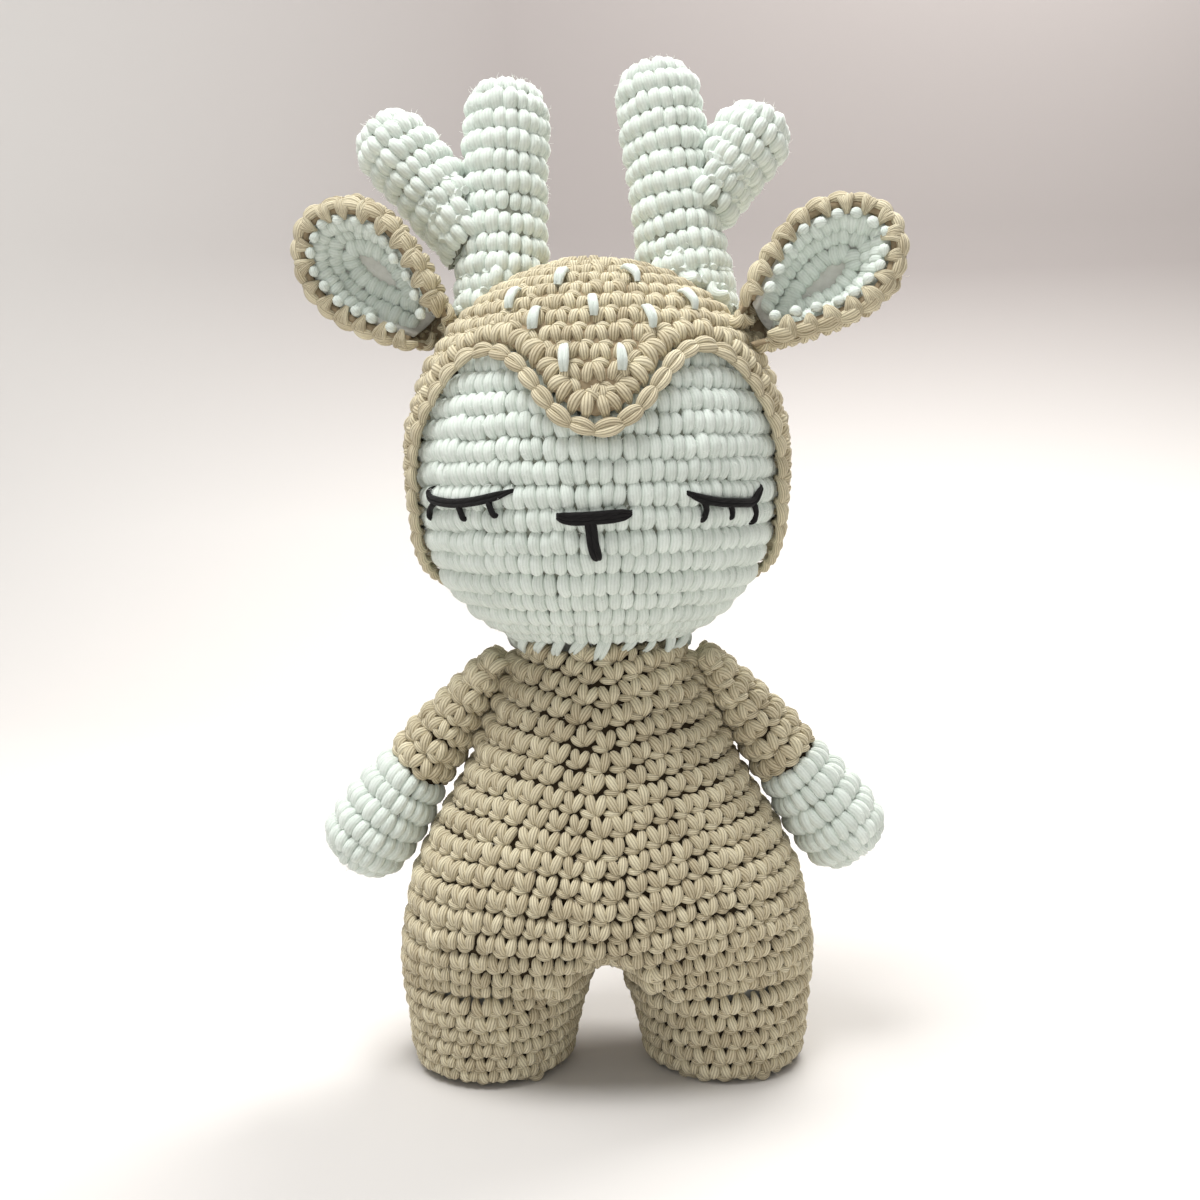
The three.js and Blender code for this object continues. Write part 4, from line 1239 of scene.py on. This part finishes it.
def shoulder(side, sign, seed):
    """Beige stitches in the crease between an arm and the torso, which hold the arm on."""
    random = np.random.default_rng(seed)
    low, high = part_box(f"{side}_shoulder_seam")
    torso = Skin("torso").tree
    place, out = [], []
    for row in range(SHOULDER_ROWS):
        for column in range(SHOULDER_COLUMNS):
            across = (column / (SHOULDER_COLUMNS - 1) - 0.5) * (high.y - low.y) * 0.8
            from_side = Vector((sign * BESIDE_DOLL, across, low.z - (row + 0.2) * ARM.height * 0.9))
            spot, normal, _, _ = torso.ray_cast(from_side, Vector((-sign, 0, 0)))
            place.append(spot + normal * SHOULDER_LIFT)
            out.append(normal)
    right = np.tile((0.0, float(sign), 0.0), (len(place), 1))
    cells = Stitches(np.array(place), right, np.array(out), ARM.width, ARM.height)
    piece = spin(f"{side}_shoulder_stitches", cells.worked(ARM, random, turn=0.15), beige_yarn)
    dress(piece, "body", (f"{side}_shoulder_seam",))


ANTLERS = ("left_antler_beam", "left_antler_tine", "right_antler_beam", "right_antler_tine")
STUFFED = {
    "body": ("torso", "left_leg", "right_leg"),
    "neck_filling": ("neck",),
    "head_and_antlers": ("head", *ANTLERS),
    "left_arm_and_hand": ("left_arm",),
    "right_arm_and_hand": ("right_arm",),
}
TUFT_SINK, TUFT_DEPTH = 0.25 * MM, 0.2 * MM


def stuffing(node, body):
    """Loose fibre inside: the CAD filling, with tufts that sink in."""
    mesh = merged(node)
    bmesh.ops.subdivide_edges(mesh, edges=mesh.edges, cuts=1, use_grid_fill=True)
    bmesh.ops.triangulate(mesh, faces=mesh.faces)
    mesh.normal_update()

    def depth(vertex):
        x, y, z = vertex.co / MM
        tuft = math.sin(1.3 * x + 0.7 * z) * math.sin(1.1 * y - 0.4 * x) * math.sin(1.5 * z + 0.5 * y)
        return TUFT_SINK + TUFT_DEPTH * tuft

    piece = drawn_in(f"{node}_fibre", mesh, depth, white_fibre)
    dress(piece, body, (node,))


# Room

FLOOR_HALF_WIDTH, FLOOR_NEAR, FLOOR_FAR = 1.6, -0.9, 0.35
BEND_RADIUS = 0.25  # from the floor up into the wall
WALL_TOP = 1.2
SHADE_HEIGHTS = (0.08, 0.24)  # between which the wall turns to its painted shade
DOLL_MIDDLE = Vector((0, 0, 0.08))
LIGHTS = (
    ("back_light", (0.28, 0.42, 0.70), 0.45, 7.0, (1.0, 0.99, 0.97)),
    ("top_light", (-0.14, -0.16, 0.80), 0.4, 6.4, (1, 1, 1)),
    ("front_light", (-0.20, -0.75, 0.30), 0.7, 0.7, (1, 1, 1)),
)


def backdrop():
    """A pale floor that bends up into a wall, with a soft shade higher up, as in the photograph."""
    floor = Finish("pale_floor_and_painted_wall_shade")
    place = floor.node("ShaderNodeSeparateXYZ", None, floor.node("ShaderNodeTexCoord").out("Object"))
    height = floor.node("ShaderNodeMapRange", None, place.out("Z"), *SHADE_HEIGHTS, 0.0, 1.0).out("Result")
    aside = place.out("X").math("ABSOLUTE").math("MINIMUM", 0.5)
    # painted shade on the wall: it deepens with height and fades towards -X
    shade = height * (1.15 - aside * 1.6 + place.out("X") * 1.5)
    color = floor.mix(shade, (0.62, 0.60, 0.58, 1), (0.34, 0.31, 0.30, 1))
    floor.surface(color, 0.9, floor.noise(40.0, 3.0), 0.02 * MM)
    profile = [(FLOOR_NEAR, 0.0)]
    for turn in np.linspace(0, math.pi / 2, 17):
        up = BEND_RADIUS - BEND_RADIUS * math.cos(turn)
        profile.append((FLOOR_FAR + BEND_RADIUS * math.sin(turn), up))
    profile.append((FLOOR_FAR + BEND_RADIUS, WALL_TOP))
    points = [(side * FLOOR_HALF_WIDTH, y, z) for y, z in profile for side in (-1, 1)]
    faces = [(2 * i, 2 * i + 1, 2 * i + 3, 2 * i + 2) for i in range(len(profile) - 1)]
    mesh = bpy.data.meshes.new("backdrop")
    mesh.from_pydata(points, [], faces)
    new_piece("backdrop", mesh, floor.material)


def lights():
    """Soft lights that face the doll, and an even light from all round."""
    for name, place, size, power, color in LIGHTS:
        data = bpy.data.lights.new(name, "AREA")
        data.shape = "DISK"
        data.size = size
        data.energy = power
        data.color = color
        light = new_object(name, data)
        light.location = place
        light.rotation_euler = (DOLL_MIDDLE - Vector(place)).to_track_quat("-Z", "Y").to_euler()
    world = bpy.data.worlds.new("soft_room")
    world.use_nodes = True
    background = world.node_tree.nodes["Background"]
    background.inputs["Color"].default_value = (1.0, 0.985, 0.97, 1)
    background.inputs["Strength"].default_value = 0.40
    bpy.context.scene.world = world
    bpy.context.scene.view_settings.view_transform = "Standard"


body_of_doll()
head_of_doll()
hood_of_doll()
face_of_doll()
spots()
neck_of_doll()
for side, sign, seed in (("left", 1, 20), ("right", -1, 30)):
    arm = (f"{side}_arm", ARM, True, BEIGE, f"{side}_hand")
    hand = (f"{side}_hand", HAND, False, WHITE, None)
    beam = (f"{side}_antler_beam", ANTLER, True, WHITE, None)
    tine = (f"{side}_antler_tine", ANTLER, True, WHITE, f"{side}_antler_beam")
    limb((arm, hand), f"{side}_arm_and_hand", seed)
    limb((beam,), "head_and_antlers", seed + 1)
    limb((tine,), "head_and_antlers", seed + 2)
    ear(side, seed + 3)
    shoulder(side, sign, seed + 4)
for body, stuffed in STUFFED.items():
    for name in stuffed:
        stuffing(f"{name}_stuffing", body)
backdrop()
lights()
